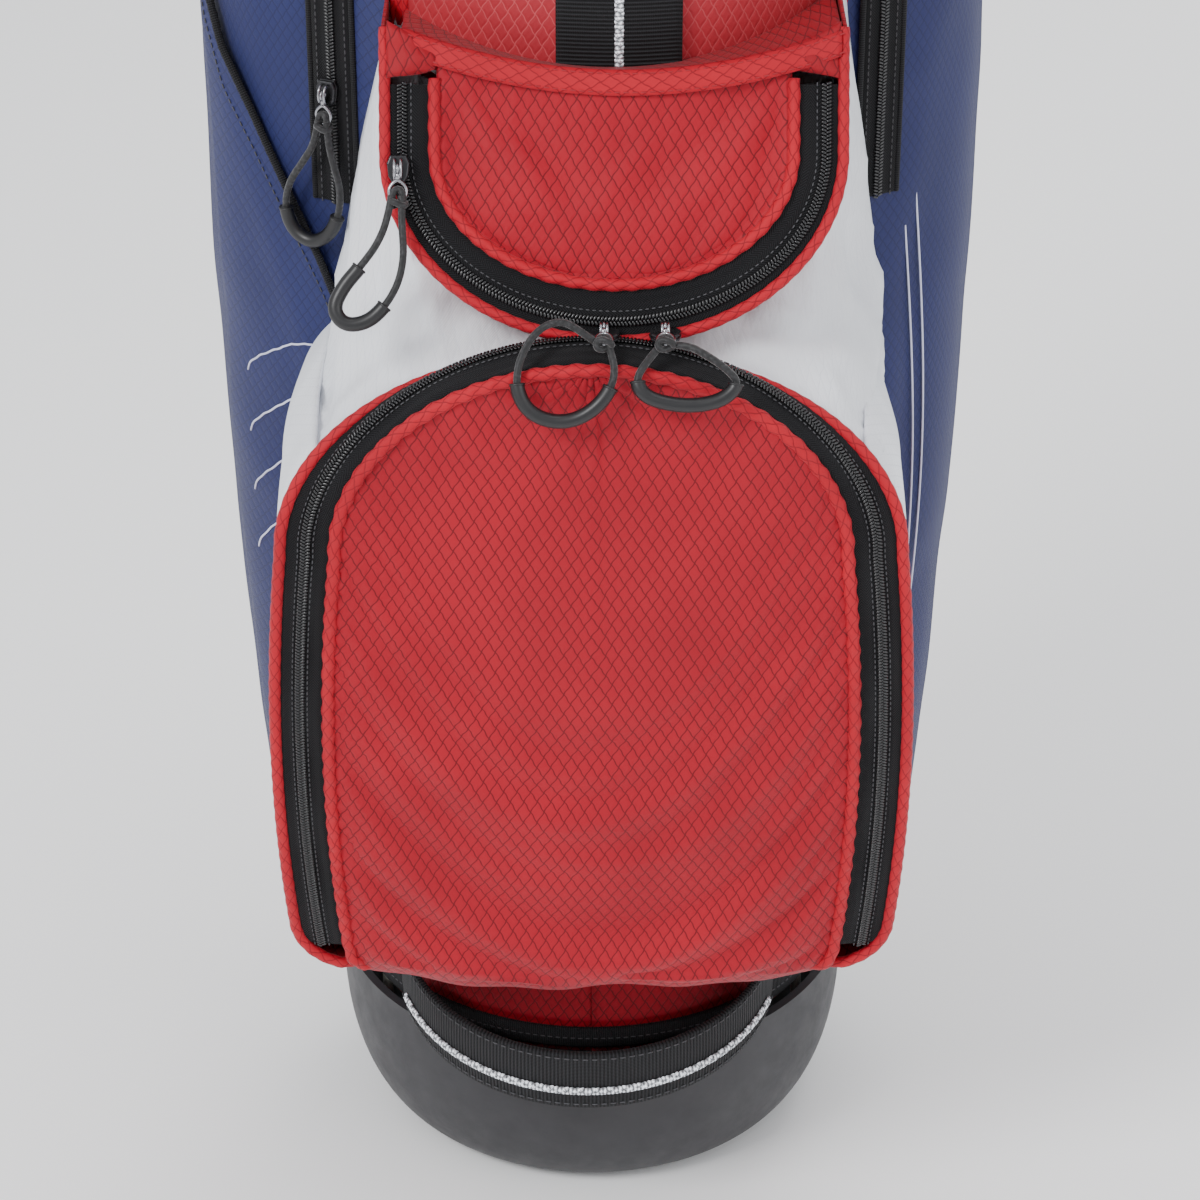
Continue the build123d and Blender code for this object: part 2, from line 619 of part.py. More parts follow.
def slider(half_x, half_z):
    body = block(-half_x, half_x, -8.0, SLIDER_BACK, -half_z, half_z)
    for side in (-1, 1):
        body += block(side * 2.7, side * 3.9, -11.0, -8.0, -1.3, 1.3)
    return body + bar_x(-3.9, 3.9, BAR_Y, 0, BAR_RADIUS)


def pull_tab(pitch):
    """Eye on the cross bar, neck, and the ring that the cord is looped through."""
    neck = block(-1.2, 1.2, BAR_Y - TAB_T / 2, BAR_Y + TAB_T / 2, -RING_DROP + RING_HOLE, -1)
    ring = Pos(0, BAR_Y, -RING_DROP) * Rot(90, 0, 0) * Cylinder(RING_R, TAB_T)
    hole = Pos(0, BAR_Y, -RING_DROP) * Rot(90, 0, 0) * Cylinder(RING_HOLE, 3 * TAB_T)
    tab = bar_x(-2.3, 2.3, BAR_Y, 0, 2.0) + neck + ring
    tab -= hole + bar_x(-9, 9, BAR_Y, 0, BAR_RADIUS + RUN_GAP)
    return Pos(0, BAR_Y, 0) * Rot(-pitch, 0, 0) * Pos(0, -BAR_Y, 0) * tab


def make_pull(prefix, slider_place, slider_body, place, pitch, points, sleeve_from, sleeve_to):
    """One slider, and the tab, cord and sleeve that hang on its bar."""
    keep(prefix + "_slider", slider_place * slider_body)
    keep(prefix + "_pull_tab", place * pull_tab(pitch))
    path, radii = cord_path(points)
    cord = tube_along(path, CORD_R)
    expected = math.pi * CORD_R**2 * path.length
    print(prefix, "cord", round(path.length, 1), "mm, radii", [round(r, 1) for r in radii])
    print(prefix, "volume", round(cord.volume, 1), "against", round(expected, 1))
    keep(prefix + "_pull_cord", place * cord)
    sleeve_path, _ = cord_path(points[sleeve_from:sleeve_to])
    sleeve = tube_along(sleeve_path, SLEEVE_R) - tube_along(sleeve_path, CORD_R + EPS)
    keep(prefix + "_pull_sleeve", place * sleeve)
    hinge = place * Pos(0, BAR_Y, 0)
    frame = Plane(place)
    print(prefix, "bar", [round(v, 2) for v in hinge.position], "axis", frame.x_dir, "zip", frame.z_dir)


HANGING_LOOP = [
    (-1.9, -11.2, -10.5), (-3.5, -11.6, -20.5), (-9.5, -12, -30), (-16.5, -12, -40), (-19.5, -12, -51.5),
    (-16, -12, -62), (-7, -12, -66.5), (1.5, -12, -61.5), (6.5, -12, -52), (8.0, -12, -41),
    (5.5, -12, -30.5), (2.6, -11.6, -20.8), (1.9, -11.2, -10.5),
]
TILTED_LOOP = [
    (-2.4, -11.2, -10.5), (-4, -11.8, -20), (-8, -12, -29.5), (-14.5, -12, -38), (-21.5, -12, -46),
    (-25.5, -12, -54.5), (-21, -12, -61), (-12, -12, -60), (-4.5, -12, -53), (0.5, -12, -44),
    (2.5, -12, -33.5), (1.6, -11.8, -22.5), (1.5, -11.2, -10.5),
]
ROUND_LOOP = [
    (-1.9, -21.2, -2.4), (-8, -22, 3), (-16.5, -19.5, 7.5), (-25.5, -21, 4.5), (-32, -26.5, -3.5),
    (-34.5, -32, -13.5), (-31, -36, -22.5), (-22.5, -37.5, -27.5), (-12, -37.5, -27.5), (-3, -36, -22.5),
    (3, -33.5, -15), (4.5, -29, -7.5), (1.9, -22.4, -2.6),
]
FLAT_LOOP = [
    (-1.9, -21.2, -2.6), (-7.5, -27.5, -6.5), (-12, -32.5, -12.5), (-8, -35.5, -18), (2, -37, -20.5),
    (13, -37, -21), (23, -36, -18.5), (28.5, -33, -13), (23.5, -31, -8), (15, -28, -3),
    (7.5, -24.5, -0.5), (2.0, -21.5, -2.6),
]
SIDE_SLIDER_Z = {-1: 537.0, 1: 700.0}
for side, hand in ((-1, "left"), (1, "right")):
    x = SIDE_ZIP_X[side]
    y, turn = lobe_point(x, (SIDE_ZIP_Z0 + SIDE_ZIP_Z1) / 2)
    place = Location((side * x, y, SIDE_SLIDER_Z[side]), (0, 0, side * turn))
    make_pull("side_" + hand, place, slider(4.5, 5.5), place, 0, HANGING_LOOP, 4, 9)

UPPER_SLIDER_Z = 536.0
ORIGIN_SINK = 1.8           # brings the teeth's front level with that of the side zips
tan_slant = math.tan(math.radians(slant))
upper_y = UPPER_TOP_Y - (UPPER_TOP_Z - UPPER_SLIDER_Z) * tan_slant
place = Location((UPPER_X - UPPER_HALF + 5.5, upper_y, UPPER_SLIDER_Z), (-slant, 0, 0))
place = place * Pos(0, ORIGIN_SINK, 0)
make_pull("upper", place, slider(4.5, 5.5), place, 0, TILTED_LOOP, 3, 9)

BALL_BAR_Y = -178.0         # the two sliders lie on the pocket's top edge, bars upwards
BALL_BAR_Z = 484.4
TAB_PITCH = 82.0            # their tabs lie forwards over the edge
for x, hand, points, first, last in (
    (5.0, "left", ROUND_LOOP, 5, 11),
    (29.0, "right", FLAT_LOOP, 2, 8),
):
    lying = Location((x, BALL_BAR_Y, BALL_BAR_Z + BAR_Y), (-90, 0, 0))
    hanging = Location((x, BALL_BAR_Y - BAR_Y, BALL_BAR_Z))
    make_pull("ball_" + hand, lying, slider(6.5, 4.5), hanging, TAB_PITCH, points, first, last)
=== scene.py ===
import json
import math

import bpy
import numpy as np
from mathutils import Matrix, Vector


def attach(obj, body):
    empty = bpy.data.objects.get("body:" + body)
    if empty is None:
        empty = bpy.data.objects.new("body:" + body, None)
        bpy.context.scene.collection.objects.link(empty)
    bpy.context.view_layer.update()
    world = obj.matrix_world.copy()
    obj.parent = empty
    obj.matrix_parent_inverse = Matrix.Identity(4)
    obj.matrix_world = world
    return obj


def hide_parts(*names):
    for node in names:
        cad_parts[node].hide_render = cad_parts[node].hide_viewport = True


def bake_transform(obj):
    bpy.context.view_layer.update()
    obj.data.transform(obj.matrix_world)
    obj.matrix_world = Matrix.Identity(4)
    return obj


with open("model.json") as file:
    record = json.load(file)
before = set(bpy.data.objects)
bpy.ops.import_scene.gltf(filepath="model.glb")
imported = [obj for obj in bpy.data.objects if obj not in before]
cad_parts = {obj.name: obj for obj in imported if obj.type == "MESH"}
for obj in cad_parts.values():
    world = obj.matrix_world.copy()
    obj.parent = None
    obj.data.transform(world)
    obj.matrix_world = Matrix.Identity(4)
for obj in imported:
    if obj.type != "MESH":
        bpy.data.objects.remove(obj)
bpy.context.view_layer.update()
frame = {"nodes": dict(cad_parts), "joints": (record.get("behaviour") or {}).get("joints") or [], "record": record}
nodes = frame["nodes"]

# Golf stand bag. Lengths are in millimetres here and become metres when a mesh is made.
MM = 0.001
WEAVE = "weave"
collection = bpy.context.scene.collection


# ---- meshes ----
def grid_faces(rows, cols, wrap=False):
    """Quads of a grid of rows x cols points, row by row; wrap joins the last column to the first."""
    r = np.arange(rows - 1)[:, None]
    c = np.arange(cols if wrap else cols - 1)[None, :]
    c2 = (c + 1) % cols
    quads = np.stack([r * cols + c, r * cols + c2, (r + 1) * cols + c2, (r + 1) * cols + c], axis=-1)
    return quads.reshape(-1, 4).tolist()


def make_piece(name, points, faces, material, body, slot, uv=None, solid=0.0, levels=0, smooth=True,
               offset=-1.0):
    """A mesh piece from points in millimetres. It rides on a body, or on none if none is given."""
    mesh = bpy.data.meshes.new(name)
    mesh.from_pydata((np.asarray(points).reshape(-1, 3) * MM).tolist(), [], faces)
    if uv is not None:
        layer = mesh.uv_layers.new(name=WEAVE)
        flat = np.asarray(uv).reshape(-1, 2) * MM
        index = np.empty(len(mesh.loops), dtype=np.int32)
        mesh.loops.foreach_get("vertex_index", index)
        layer.data.foreach_set("uv", flat[index].ravel())
    mesh.materials.append(material)
    mesh.validate()
    piece = bpy.data.objects.new(name, mesh)
    collection.objects.link(piece)
    if smooth:
        mesh.shade_smooth()
    if solid:
        skin = piece.modifiers.new("thickness", "SOLIDIFY")
        skin.thickness = solid * MM
        skin.offset = offset
    if levels:
        soft = piece.modifiers.new("smooth", "SUBSURF")
        soft.levels = soft.render_levels = levels
    if body:
        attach(piece, body)
    return piece


def sheet_grid(name, points, material, body, slot, uv=None, **how):
    """A grid of points (rows, cols, 3) as a skin."""
    rows, cols = points.shape[:2]
    if uv is None:
        uv = fabric_uv(points)
    return make_piece(name, points, grid_faces(rows, cols), material, body, slot, uv=uv, **how)


def fabric_uv(points):
    """Unrolled cloth coordinates of a grid: distance along each row and each column, centred."""
    along = np.linalg.norm(np.diff(points, axis=1), axis=2)
    u = np.concatenate([np.zeros((points.shape[0], 1)), np.cumsum(along, axis=1)], axis=1)
    u -= u[:, -1:] / 2
    up = np.linalg.norm(np.diff(points, axis=0), axis=2)
    v = np.concatenate([np.zeros((1, points.shape[1])), np.cumsum(up, axis=0)], axis=0)
    middle = v[:, v.shape[1] // 2][:, None]
    return np.stack([u, np.broadcast_to(middle, u.shape)], axis=-1)


def unit(v):
    """Vectors scaled to length one."""
    return v / np.maximum(np.linalg.norm(v, axis=-1, keepdims=True), 1e-9)


def resample(path, step):
    """Points evenly spaced along a polyline."""
    path = np.asarray(path, dtype=float)
    seg = np.linalg.norm(np.diff(path, axis=0), axis=1)
    s = np.concatenate([[0], np.cumsum(seg)])
    count = max(int(s[-1] / step), 2) + 1
    at = np.linspace(0, s[-1], count)
    return np.stack([np.interp(at, s, path[:, k]) for k in range(path.shape[1])], axis=1)


def spaced(path, count):
    """A given number of points evenly spaced along a polyline."""
    s = lengths(path)
    at = np.linspace(0, s[-1], count)
    return np.stack([np.interp(at, s, path[:, k]) for k in range(path.shape[1])], axis=1)


def smooth_path(points, step, rounds=4):
    """A given line, softened and evenly spaced."""
    path = resample(points, step)
    for _ in range(rounds * 3):
        path[1:-1] = (path[:-2] + 2 * path[1:-1] + path[2:]) / 4
    return resample(path, step)


def lengths(path):
    """Distance along a polyline at each of its points."""
    return np.concatenate([[0], np.cumsum(np.linalg.norm(np.diff(path, axis=0), axis=1))])


def tube(name, path, radius, material, body, slot, sides=10, gather=0.0, pitch=7.0, closed=False):
    """A round cord of cloth along a path; gather makes it pucker along its length."""
    path = np.asarray(path, dtype=float)
    tangent = unit(np.gradient(path, axis=0))
    if closed:
        tangent = unit(np.roll(path, -1, axis=0) - np.roll(path, 1, axis=0))
    side = np.zeros_like(path)
    guess = np.array([0.0, 1.0, 0.0]) if abs(tangent[0][1]) < 0.9 else np.array([1.0, 0.0, 0.0])
    for k, t in enumerate(tangent):
        guess = guess - t * np.dot(guess, t)
        guess = guess / np.linalg.norm(guess)
        side[k] = guess
    other = np.cross(tangent, side)
    s = lengths(path)
    turn = np.linspace(0, 2 * math.pi, sides, endpoint=False)
    swell = 1 + gather * np.sin(2 * math.pi * s[:, None] / pitch + 0.9 * np.sin(s[:, None] / 11)
                                + turn[None, :])
    ring = radius * swell
    points = path[:, None] + ring[..., None] * (
        np.cos(turn)[None, :, None] * side[:, None] + np.sin(turn)[None, :, None] * other[:, None]
    )
    faces = grid_faces(len(path), sides, wrap=True)
    if closed:
        last = (len(path) - 1) * sides
        faces += [[last + c, last + (c + 1) % sides, (c + 1) % sides, c] for c in range(sides)]
    else:
        faces.append(list(range(sides))[::-1])
        faces.append([(len(path) - 1) * sides + c for c in range(sides)])
    uv = np.stack([np.broadcast_to(turn[None, :] * radius, ring.shape),
                   np.broadcast_to(s[:, None], ring.shape)], -1)
    return make_piece(name, points, faces, material, body, slot, uv=uv)


def band(name, left, right, normal, thick, material, body, slot, cols=7, crown=0.0, wave=0.0):
    """A flat tape between two edges, with rounded edges and a little crown."""
    left, right, normal = (np.asarray(a, dtype=float) for a in (left, right, normal))
    across = np.linspace(0, 1, cols)
    lift = crown * np.sin(math.pi * across)
    s = lengths((left + right) / 2)
    ripple = wave * np.sin(s / 9.0)[:, None] * np.sin(math.pi * across)[None, :]
    top = left[:, None] + (right - left)[:, None] * across[None, :, None]
    top = top + normal[:, None] * (thick + lift[None, :] + ripple)[..., None]
    under = top[:, ::-1] - normal[:, None] * thick
    loop = np.concatenate([top, under], axis=1)
    width = np.linalg.norm(right - left, axis=1)[:, None]
    u = np.concatenate([across, across[::-1]])[None, :] * width - width / 2
    uv = np.stack([u, np.broadcast_to(s[:, None], u.shape)], axis=-1)
    rows, count = loop.shape[:2]
    faces = grid_faces(rows, count, wrap=True)
    faces.append(list(range(count))[::-1])
    faces.append([(rows - 1) * count + c for c in range(count)])
    return make_piece(name, loop, faces, material, body, slot, uv=uv)


def repeat(name, shape_points, shape_faces, places, axes, material, body, slot):
    """Copies of one small shape at many places; axes are three arrays of directions."""
    shape = np.asarray(shape_points, dtype=float)
    x, y, z = axes
    points = places[:, None] + (
        shape[None, :, 0:1] * x[:, None] + shape[None, :, 1:2] * y[:, None] + shape[None, :, 2:3] * z[:, None]
    )
    count = len(shape)
    faces = [[i + k * count for i in face] for k in range(len(places)) for face in shape_faces]
    return make_piece(name, points, faces, material, body, slot)


def capsule(length, radius, sides=6):
    """A short rounded rod along x, as points and faces."""
    stations = ((-0.5, 0.35), (-0.42, 0.85), (-0.2, 1.0), (0.2, 1.0), (0.42, 0.85), (0.5, 0.35))
    points = []
    for at, size in stations:
        for k in range(sides):
            turn = 2 * math.pi * k / sides
            points.append((at * length, radius * size * math.cos(turn), radius * size * math.sin(turn)))
    faces = grid_faces(len(stations), sides, wrap=True)
    faces.append(list(range(sides))[::-1])
    faces.append([(len(stations) - 1) * sides + c for c in range(sides)])
    return points, faces


def along_path(path, normal, pitch):
    """Even places on a path with their tangent, across and normal directions."""
    joined = resample(np.concatenate([path, normal], axis=1), pitch)
    places = joined[:, :3]
    up = unit(joined[:, 3:])
    tangent = unit(np.gradient(places, axis=0))
    across = unit(np.cross(tangent, up))
    return places, tangent, across, up


def coil_teeth(name, path, normal, body, width=4.2, pitch=1.45):
    """The two rows of a zip's coil: short rods leaning together at the middle."""
    places, tangent, across, up = along_path(path, normal, pitch)
    rod, faces = capsule(width * 0.56, 0.62)
    rod = np.asarray(rod)
    shifted = []
    shape_faces = []
    for side in (-1, 1):
        turned = rod.copy()
        lean = side * 0.38
        turned[:, 0] = rod[:, 0] * math.cos(lean) - rod[:, 1] * math.sin(lean) + side * width * 0.24
        turned[:, 1] = rod[:, 0] * math.sin(lean) + rod[:, 1] * math.cos(lean) + side * pitch / 4
        turned[:, 2] = rod[:, 2] * 0.9 + 0.5
        shape_faces += [[i + len(rod) * (side + 1) // 2 for i in face] for face in faces]
        shifted.append(turned)
    shape = np.concatenate(shifted)
    return repeat(name, shape, shape_faces, places, (across, tangent, up), coil_black, body, "zip")


def stitches(name, path, normal, body, material=None, length=2.6, gap=1.3, slot="red_ripstop"):
    """A row of sewn stitches lying just on the cloth."""
    places, tangent, across, up = along_path(path, normal, length + gap)
    shape, faces = capsule(length, 0.34, sides=5)
    return repeat(name, shape, faces, places, (tangent, across, up), material or thread_red, body, slot)


# ---- materials ----
class Shader:
    """Short-hand for building one procedural material."""

    def __init__(self, name, colour, roughness, **sockets):
        self.mat = bpy.data.materials.new(name)
        self.mat.use_nodes = True
        self.nodes = self.mat.node_tree.nodes
        self.links = self.mat.node_tree.links
        self.bsdf = self.nodes["Principled BSDF"]
        self.set(self.bsdf, "Base Color", (*colour, 1))
        self.set(self.bsdf, "Roughness", roughness)
        for key, value in sockets.items():
            self.set(self.bsdf, key.replace("_", " "), value)
        self.height = None

    def set(self, node, socket, value):
        node.inputs[socket].default_value = value

    def link(self, source, node, socket):
        self.links.new(source, node.inputs[socket])

    def node(self, kind, **settings):
        made = self.nodes.new("ShaderNode" + kind)
        for key, value in settings.items():
            setattr(made, key, value)
        return made

    def math(self, operation, a, b=None, c=None):
        made = self.node("Math", operation=operation)
        for index, value in enumerate((a, b, c)):
            if value is None:
                continue
            if isinstance(value, (int, float)):
                made.inputs[index].default_value = value
            else:
                self.links.new(value, made.inputs[index])
        return made.outputs[0]

    def cloth(self):
        """Cloth coordinates in millimetres: across and along."""
        uv = self.node("UVMap", uv_map=WEAVE)
        split = self.node("SeparateXYZ")
        self.link(uv.outputs[0], split, 0)
        return self.math("DIVIDE", split.outputs[0], MM), self.math("DIVIDE", split.outputs[1], MM)

    def place(self):
        """Object coordinates in millimetres."""
        at = self.node("TexCoord")
        scale = self.node("VectorMath", operation="SCALE")
        self.link(at.outputs["Object"], scale, 0)
        self.set(scale, "Scale", 1 / MM)
        return scale.outputs[0]

    def noise(self, vector, size, detail=3.0, rough=0.55):
        """Noise whose lumps are about size millimetres."""
        made = self.node("TexNoise")
        self.link(vector, made, "Vector")
        self.set(made, "Scale", 1 / size)
        self.set(made, "Detail", detail)
        self.set(made, "Roughness", rough)
        return made.outputs["Fac"]

    def remap(self, value, low, high, to_low=0.0, to_high=1.0, kind="LINEAR"):
        made = self.node("MapRange", interpolation_type=kind)
        self.link(value, made, 0)
        for index, number in enumerate((low, high, to_low, to_high)):
            made.inputs[index + 1].default_value = number
        return made.outputs[0]

    def mix(self, fac, a, b):
        made = self.node("Mix", data_type="RGBA")
        self.link(fac, made, 0)
        for index, value in ((6, a), (7, b)):
            if isinstance(value, tuple):
                made.inputs[index].default_value = (*value, 1)
            else:
                self.links.new(value, made.inputs[index])
        return made.outputs[2]

    def colour(self, source):
        self.link(source, self.bsdf, "Base Color")

    def bump(self, height, distance, strength=1.0):
        made = self.node("Bump")
        self.set(made, "Distance", distance * MM)
        self.set(made, "Strength", strength)
        self.link(height, made, "Height")
        if self.height is not None:
            self.link(self.height, made, "Normal")
        self.height = made.outputs[0]
        self.link(self.height, self.bsdf, "Normal")


def ripstop(name, cell, line, wide=5.5, tall=8.8, line_w=0.075, roughness=0.58, shine=0.05, raised=0.2):
    """Diamond ripstop: a net of thicker yarns over a fine weave."""
    s = Shader(name, cell, roughness, Sheen_Weight=shine, Sheen_Roughness=0.45, Specular_IOR_Level=0.26)
    u, v = s.cloth()
    place = s.place()
    waver = s.math("MULTIPLY", s.math("SINE", s.math("MULTIPLY", v, 4 * math.pi / tall)), 0.035)
    across = s.math("ADD", s.math("DIVIDE", u, wide), waver)
    up = s.math("DIVIDE", v, tall)
    one = s.math("PINGPONG", s.math("ADD", across, up), 0.5)
    two = s.math("PINGPONG", s.math("SUBTRACT", across, up), 0.5)
    near = s.math("SMOOTH_MIN", one, two, 0.05)
    net = s.remap(near, line_w * 0.45, line_w, 1.0, 0.0, "SMOOTHSTEP")
    drift = s.noise(place, 60.0, 2.0)
    dark = tuple(c * 0.88 for c in cell)
    light = tuple(min(c * 1.12 + 0.001, 1.0) for c in cell)
    base = s.mix(s.remap(drift, 0.3, 0.7), dark, light)
    yarn_u = s.math("SINE", s.math("MULTIPLY", u, 2 * math.pi / 0.62))
    yarn_v = s.math("SINE", s.math("MULTIPLY", v, 2 * math.pi / 0.62))
    weave = s.math("MULTIPLY", yarn_u, yarn_v)
    fine = s.mix(s.remap(weave, -1.0, 1.0, 0.0, 0.22), base, dark)
    s.colour(s.mix(net, fine, line))
    s.bump(s.remap(near, 0.0, 0.3, 0.0, 1.0, "SMOOTHSTEP"), raised)
    s.bump(weave, 0.035)
    s.bump(s.noise(place, 3.0, 2.0), 0.12, 0.6)
    return s.mat


def webbing(name, colour, rib=1.7, roughness=0.7, relief=0.28):
    """Ribs running across the strap, over a fine twill."""
    s = Shader(name, colour, roughness, Sheen_Weight=0.04, Sheen_Roughness=0.5, Specular_IOR_Level=0.2)
    u, v = s.cloth()
    rows = s.math("SINE", s.math("MULTIPLY", v, 2 * math.pi / rib))
    yarns = s.math("SINE",
                   s.math("ADD", s.math("MULTIPLY", u, 2 * math.pi / 0.9), s.math("MULTIPLY", rows, 1.1)))
    light = tuple(c * 2.6 + 0.006 for c in colour)
    dark = tuple(c * 0.35 for c in colour)
    s.colour(s.mix(s.remap(rows, -0.9, 0.9), dark, light))
    s.bump(rows, relief)
    s.bump(yarns, 0.06)
    return s.mat


def tape_cloth(name, colour):
    """Zip tape: a fine herringbone."""
    s = Shader(name, colour, 0.75, Sheen_Weight=0.03, Specular_IOR_Level=0.2)
    u, v = s.cloth()
    chevron = s.math("MULTIPLY", s.math("PINGPONG", u, 2.2), 1.3)
    rows = s.math("SINE", s.math("MULTIPLY", s.math("ADD", v, chevron), 2 * math.pi / 1.25))
    s.colour(s.mix(s.remap(rows, -1.0, 1.0), tuple(c * 0.5 for c in colour),
                   tuple(c * 1.9 + 0.004 for c in colour)))
    s.bump(rows, 0.14)
    return s.mat


def braid(name, colour, pitch=1.5):
    """Round braid: crossing strands, from object coordinates."""
    s = Shader(name, colour, 0.55, Sheen_Weight=0.3, Specular_IOR_Level=0.4)
    place = s.place()
    cells = s.node("TexVoronoi", feature="SMOOTH_F1")
    s.link(place, cells, "Vector")
    s.set(cells, "Scale", 1 / pitch)
    strands = cells.outputs["Distance"]
    s.colour(s.mix(s.remap(strands, 0.1, 0.6), tuple(c * 2.4 + 0.003 for c in colour),
                   tuple(c * 0.4 for c in colour)))
    s.bump(s.remap(strands, 0.0, 0.7, 1.0, 0.0), 0.3)
    return s.mat


def moulded(name, colour, roughness, grain=0.9, depth=0.03, drift=0.12, **sockets):
    """Moulded plastic, rubber or plated metal: fine grain, faint cloudiness and rubbed patches."""
    s = Shader(name, colour, roughness, **sockets)
    place = s.place()
    cloud = s.noise(place, 45.0, 3.0)
    s.colour(s.mix(s.remap(cloud, 0.3, 0.7), tuple(c * (1 - drift) for c in colour),
                   tuple(c * (1 + drift) for c in colour)))
    rub = s.remap(s.noise(place, 14.0, 4.0, 0.65), 0.3, 0.75, roughness * 0.85, min(roughness * 1.2, 1.0))
    s.link(rub, s.bsdf, "Roughness")
    s.bump(s.noise(place, grain, 2.0), depth)
    return s.mat


def knit(name, colour):
    """Spacer mesh: rows of small holes."""
    s = Shader(name, colour, 0.85, Sheen_Weight=0.4, Sheen_Roughness=0.6, Specular_IOR_Level=0.25)
    place = s.place()
    cells = s.node("TexVoronoi")
    s.link(place, cells, "Vector")
    s.set(cells, "Scale", 1 / 2.1)
    s.set(cells, "Randomness", 0.25)
    hole = s.remap(cells.outputs["Distance"], 0.18, 0.42, 0.0, 1.0, "SMOOTHSTEP")
    s.colour(s.mix(hole, tuple(c * 0.3 for c in colour), tuple(c * 1.7 + 0.001 for c in colour)))
    s.bump(hole, 0.35)
    return s.mat


RED = (0.34, 0.001, 0.012)
RED_LINE = (0.13, 0.0008, 0.005)
# A lighter copy of the red: painted light and sheen on the upper front panel, not a cloth of its own colour.
RED_PAINTED_LIGHT = (0.36, 0.020, 0.030)
NAVY = (0.014, 0.019, 0.090)
WHITE = (0.80, 0.82, 0.86)
red_cloth = ripstop("red_ripstop", RED, RED_LINE)
# The upper front panel's cloth: the red ripstop made lighter, with lines lighter than its cells, as painted light
# and sheen.
red_painted_light_cloth = ripstop("red_ripstop_painted_light", RED_PAINTED_LIGHT, (0.46, 0.06, 0.07), line_w=0.06)
gusset_cloth = ripstop("red_gusset_cloth", (0.30, 0.002, 0.010), RED_LINE, roughness=0.6)
navy_cloth = ripstop("navy_ripstop", NAVY, (0.009, 0.012, 0.060), wide=4.4, tall=6.6, raised=0.08, shine=0.08)
white_cloth = ripstop("white_ripstop", WHITE, (0.72, 0.74, 0.79), raised=0.07, line_w=0.05, shine=0.05)
piping_cloth = ripstop("red_piping_cloth", (0.42, 0.003, 0.014), (0.22, 0.001, 0.007), 5.0, 8.0, raised=0.1)
lining_cloth = ripstop("dark_lining", (0.03, 0.03, 0.034), (0.02, 0.02, 0.022), 4.0, 4.0, raised=0.05)
black_web = webbing("black_webbing", (0.005, 0.005, 0.006))
black_binding = webbing("black_binding", (0.004, 0.004, 0.005), rib=1.0, relief=0.12)
stripe_braid = webbing("pale_braid", (0.50, 0.52, 0.55), rib=2.3, relief=0.35)
zip_cloth = tape_cloth("zip_tape_cloth", (0.004, 0.004, 0.005))
coil_black = moulded("zip_coil", (0.006, 0.006, 0.007), 0.28, grain=0.6, Coat_Weight=0.25)
thread_red = moulded("red_thread", (0.30, 0.006, 0.014), 0.6, grain=0.5)
thread_grey = moulded("grey_thread", (0.045, 0.045, 0.050), 0.6, grain=0.5)
cord_braid = braid("cord_braid", (0.005, 0.005, 0.006))
sleeve_rubber = moulded("sleeve_rubber", (0.007, 0.007, 0.008), 0.42, grain=1.2, depth=0.02)
gunmetal = moulded("gunmetal", (0.34, 0.34, 0.36), 0.24, grain=0.8, depth=0.01, Metallic=1.0)
base_plastic = moulded("base_plastic", (0.022, 0.022, 0.025), 0.52, grain=0.7, depth=0.03, drift=0.08)
black_plastic = moulded("black_plastic", (0.018, 0.018, 0.020), 0.45, grain=0.8, depth=0.04)
rubber = moulded("rubber", (0.020, 0.020, 0.021), 0.72, grain=1.1, depth=0.06)
steel = moulded("steel", (0.52, 0.52, 0.53), 0.32, grain=0.5, depth=0.01, Metallic=1.0)
aluminium = moulded("aluminium", (0.20, 0.205, 0.215), 0.36, grain=0.6, depth=0.01, Metallic=1.0)
fibreglass = moulded("fibreglass", (0.62, 0.62, 0.56), 0.35, grain=0.8)
pad_knit = knit("pad_knit", (0.006, 0.006, 0.007))
print_pale = moulded("pale_print", (0.62, 0.63, 0.78), 0.45, grain=0.8, depth=0.02)

CAD_MATERIALS = {
    "base_moulding": base_plastic,
    "black_plastic": black_plastic,
    "rubber": rubber,
    "steel": steel,
    "aluminium": aluminium,
    "gunmetal": gunmetal,
    "black_webbing": black_web,
    "black_padding": pad_knit,
    "fibreglass": fibreglass,
}
for row in frame["record"]["subparts"]:
    node = nodes[row["node"]]
    material = CAD_MATERIALS.get(row["material_slot"])
    if material:
        node.data.materials.clear()
        node.data.materials.append(material)

# ---- camera ----
CAMERA_TILT = math.radians(29.5)
camera_data = bpy.data.cameras.new("camera")
camera_data.lens = 108
camera_data.sensor_width = 36
camera_data.shift_x = 5 / 1200
camera_data.clip_end = 50
camera = bpy.data.objects.new("camera", camera_data)
camera.location = (0.0015, -1.4565, 1.085)
camera.rotation_euler = (math.pi / 2 - CAMERA_TILT, 0, 0)
collection.objects.link(camera)
bpy.context.scene.camera = camera


# ---- zip pulls: sliders, tabs, cords and sleeves ----
BAR_Y = -10.0
RING_DROP = 8.5
CORD_D = 3.0
SLEEVE_R = 2.9
HANGING_LOOP = [
    (-1.9, -11.2, -10.5), (-3.5, -11.6, -20.5), (-9.5, -12, -30), (-16.5, -12, -40), (-19.5, -12, -51.5),
    (-16, -12, -62), (-7, -12, -66.5), (1.5, -12, -61.5), (6.5, -12, -52), (8.0, -12, -41),
    (5.5, -12, -30.5), (2.6, -11.6, -20.8), (1.9, -11.2, -10.5),
]
TILTED_LOOP = [
    (-2.4, -11.2, -10.5), (-4, -11.8, -20), (-8, -12, -29.5), (-14.5, -12, -38), (-21.5, -12, -46),
    (-25.5, -12, -54.5), (-21, -12, -61), (-12, -12, -60), (-4.5, -12, -53), (0.5, -12, -44),
    (2.5, -12, -33.5), (1.6, -11.8, -22.5), (1.5, -11.2, -10.5),
]
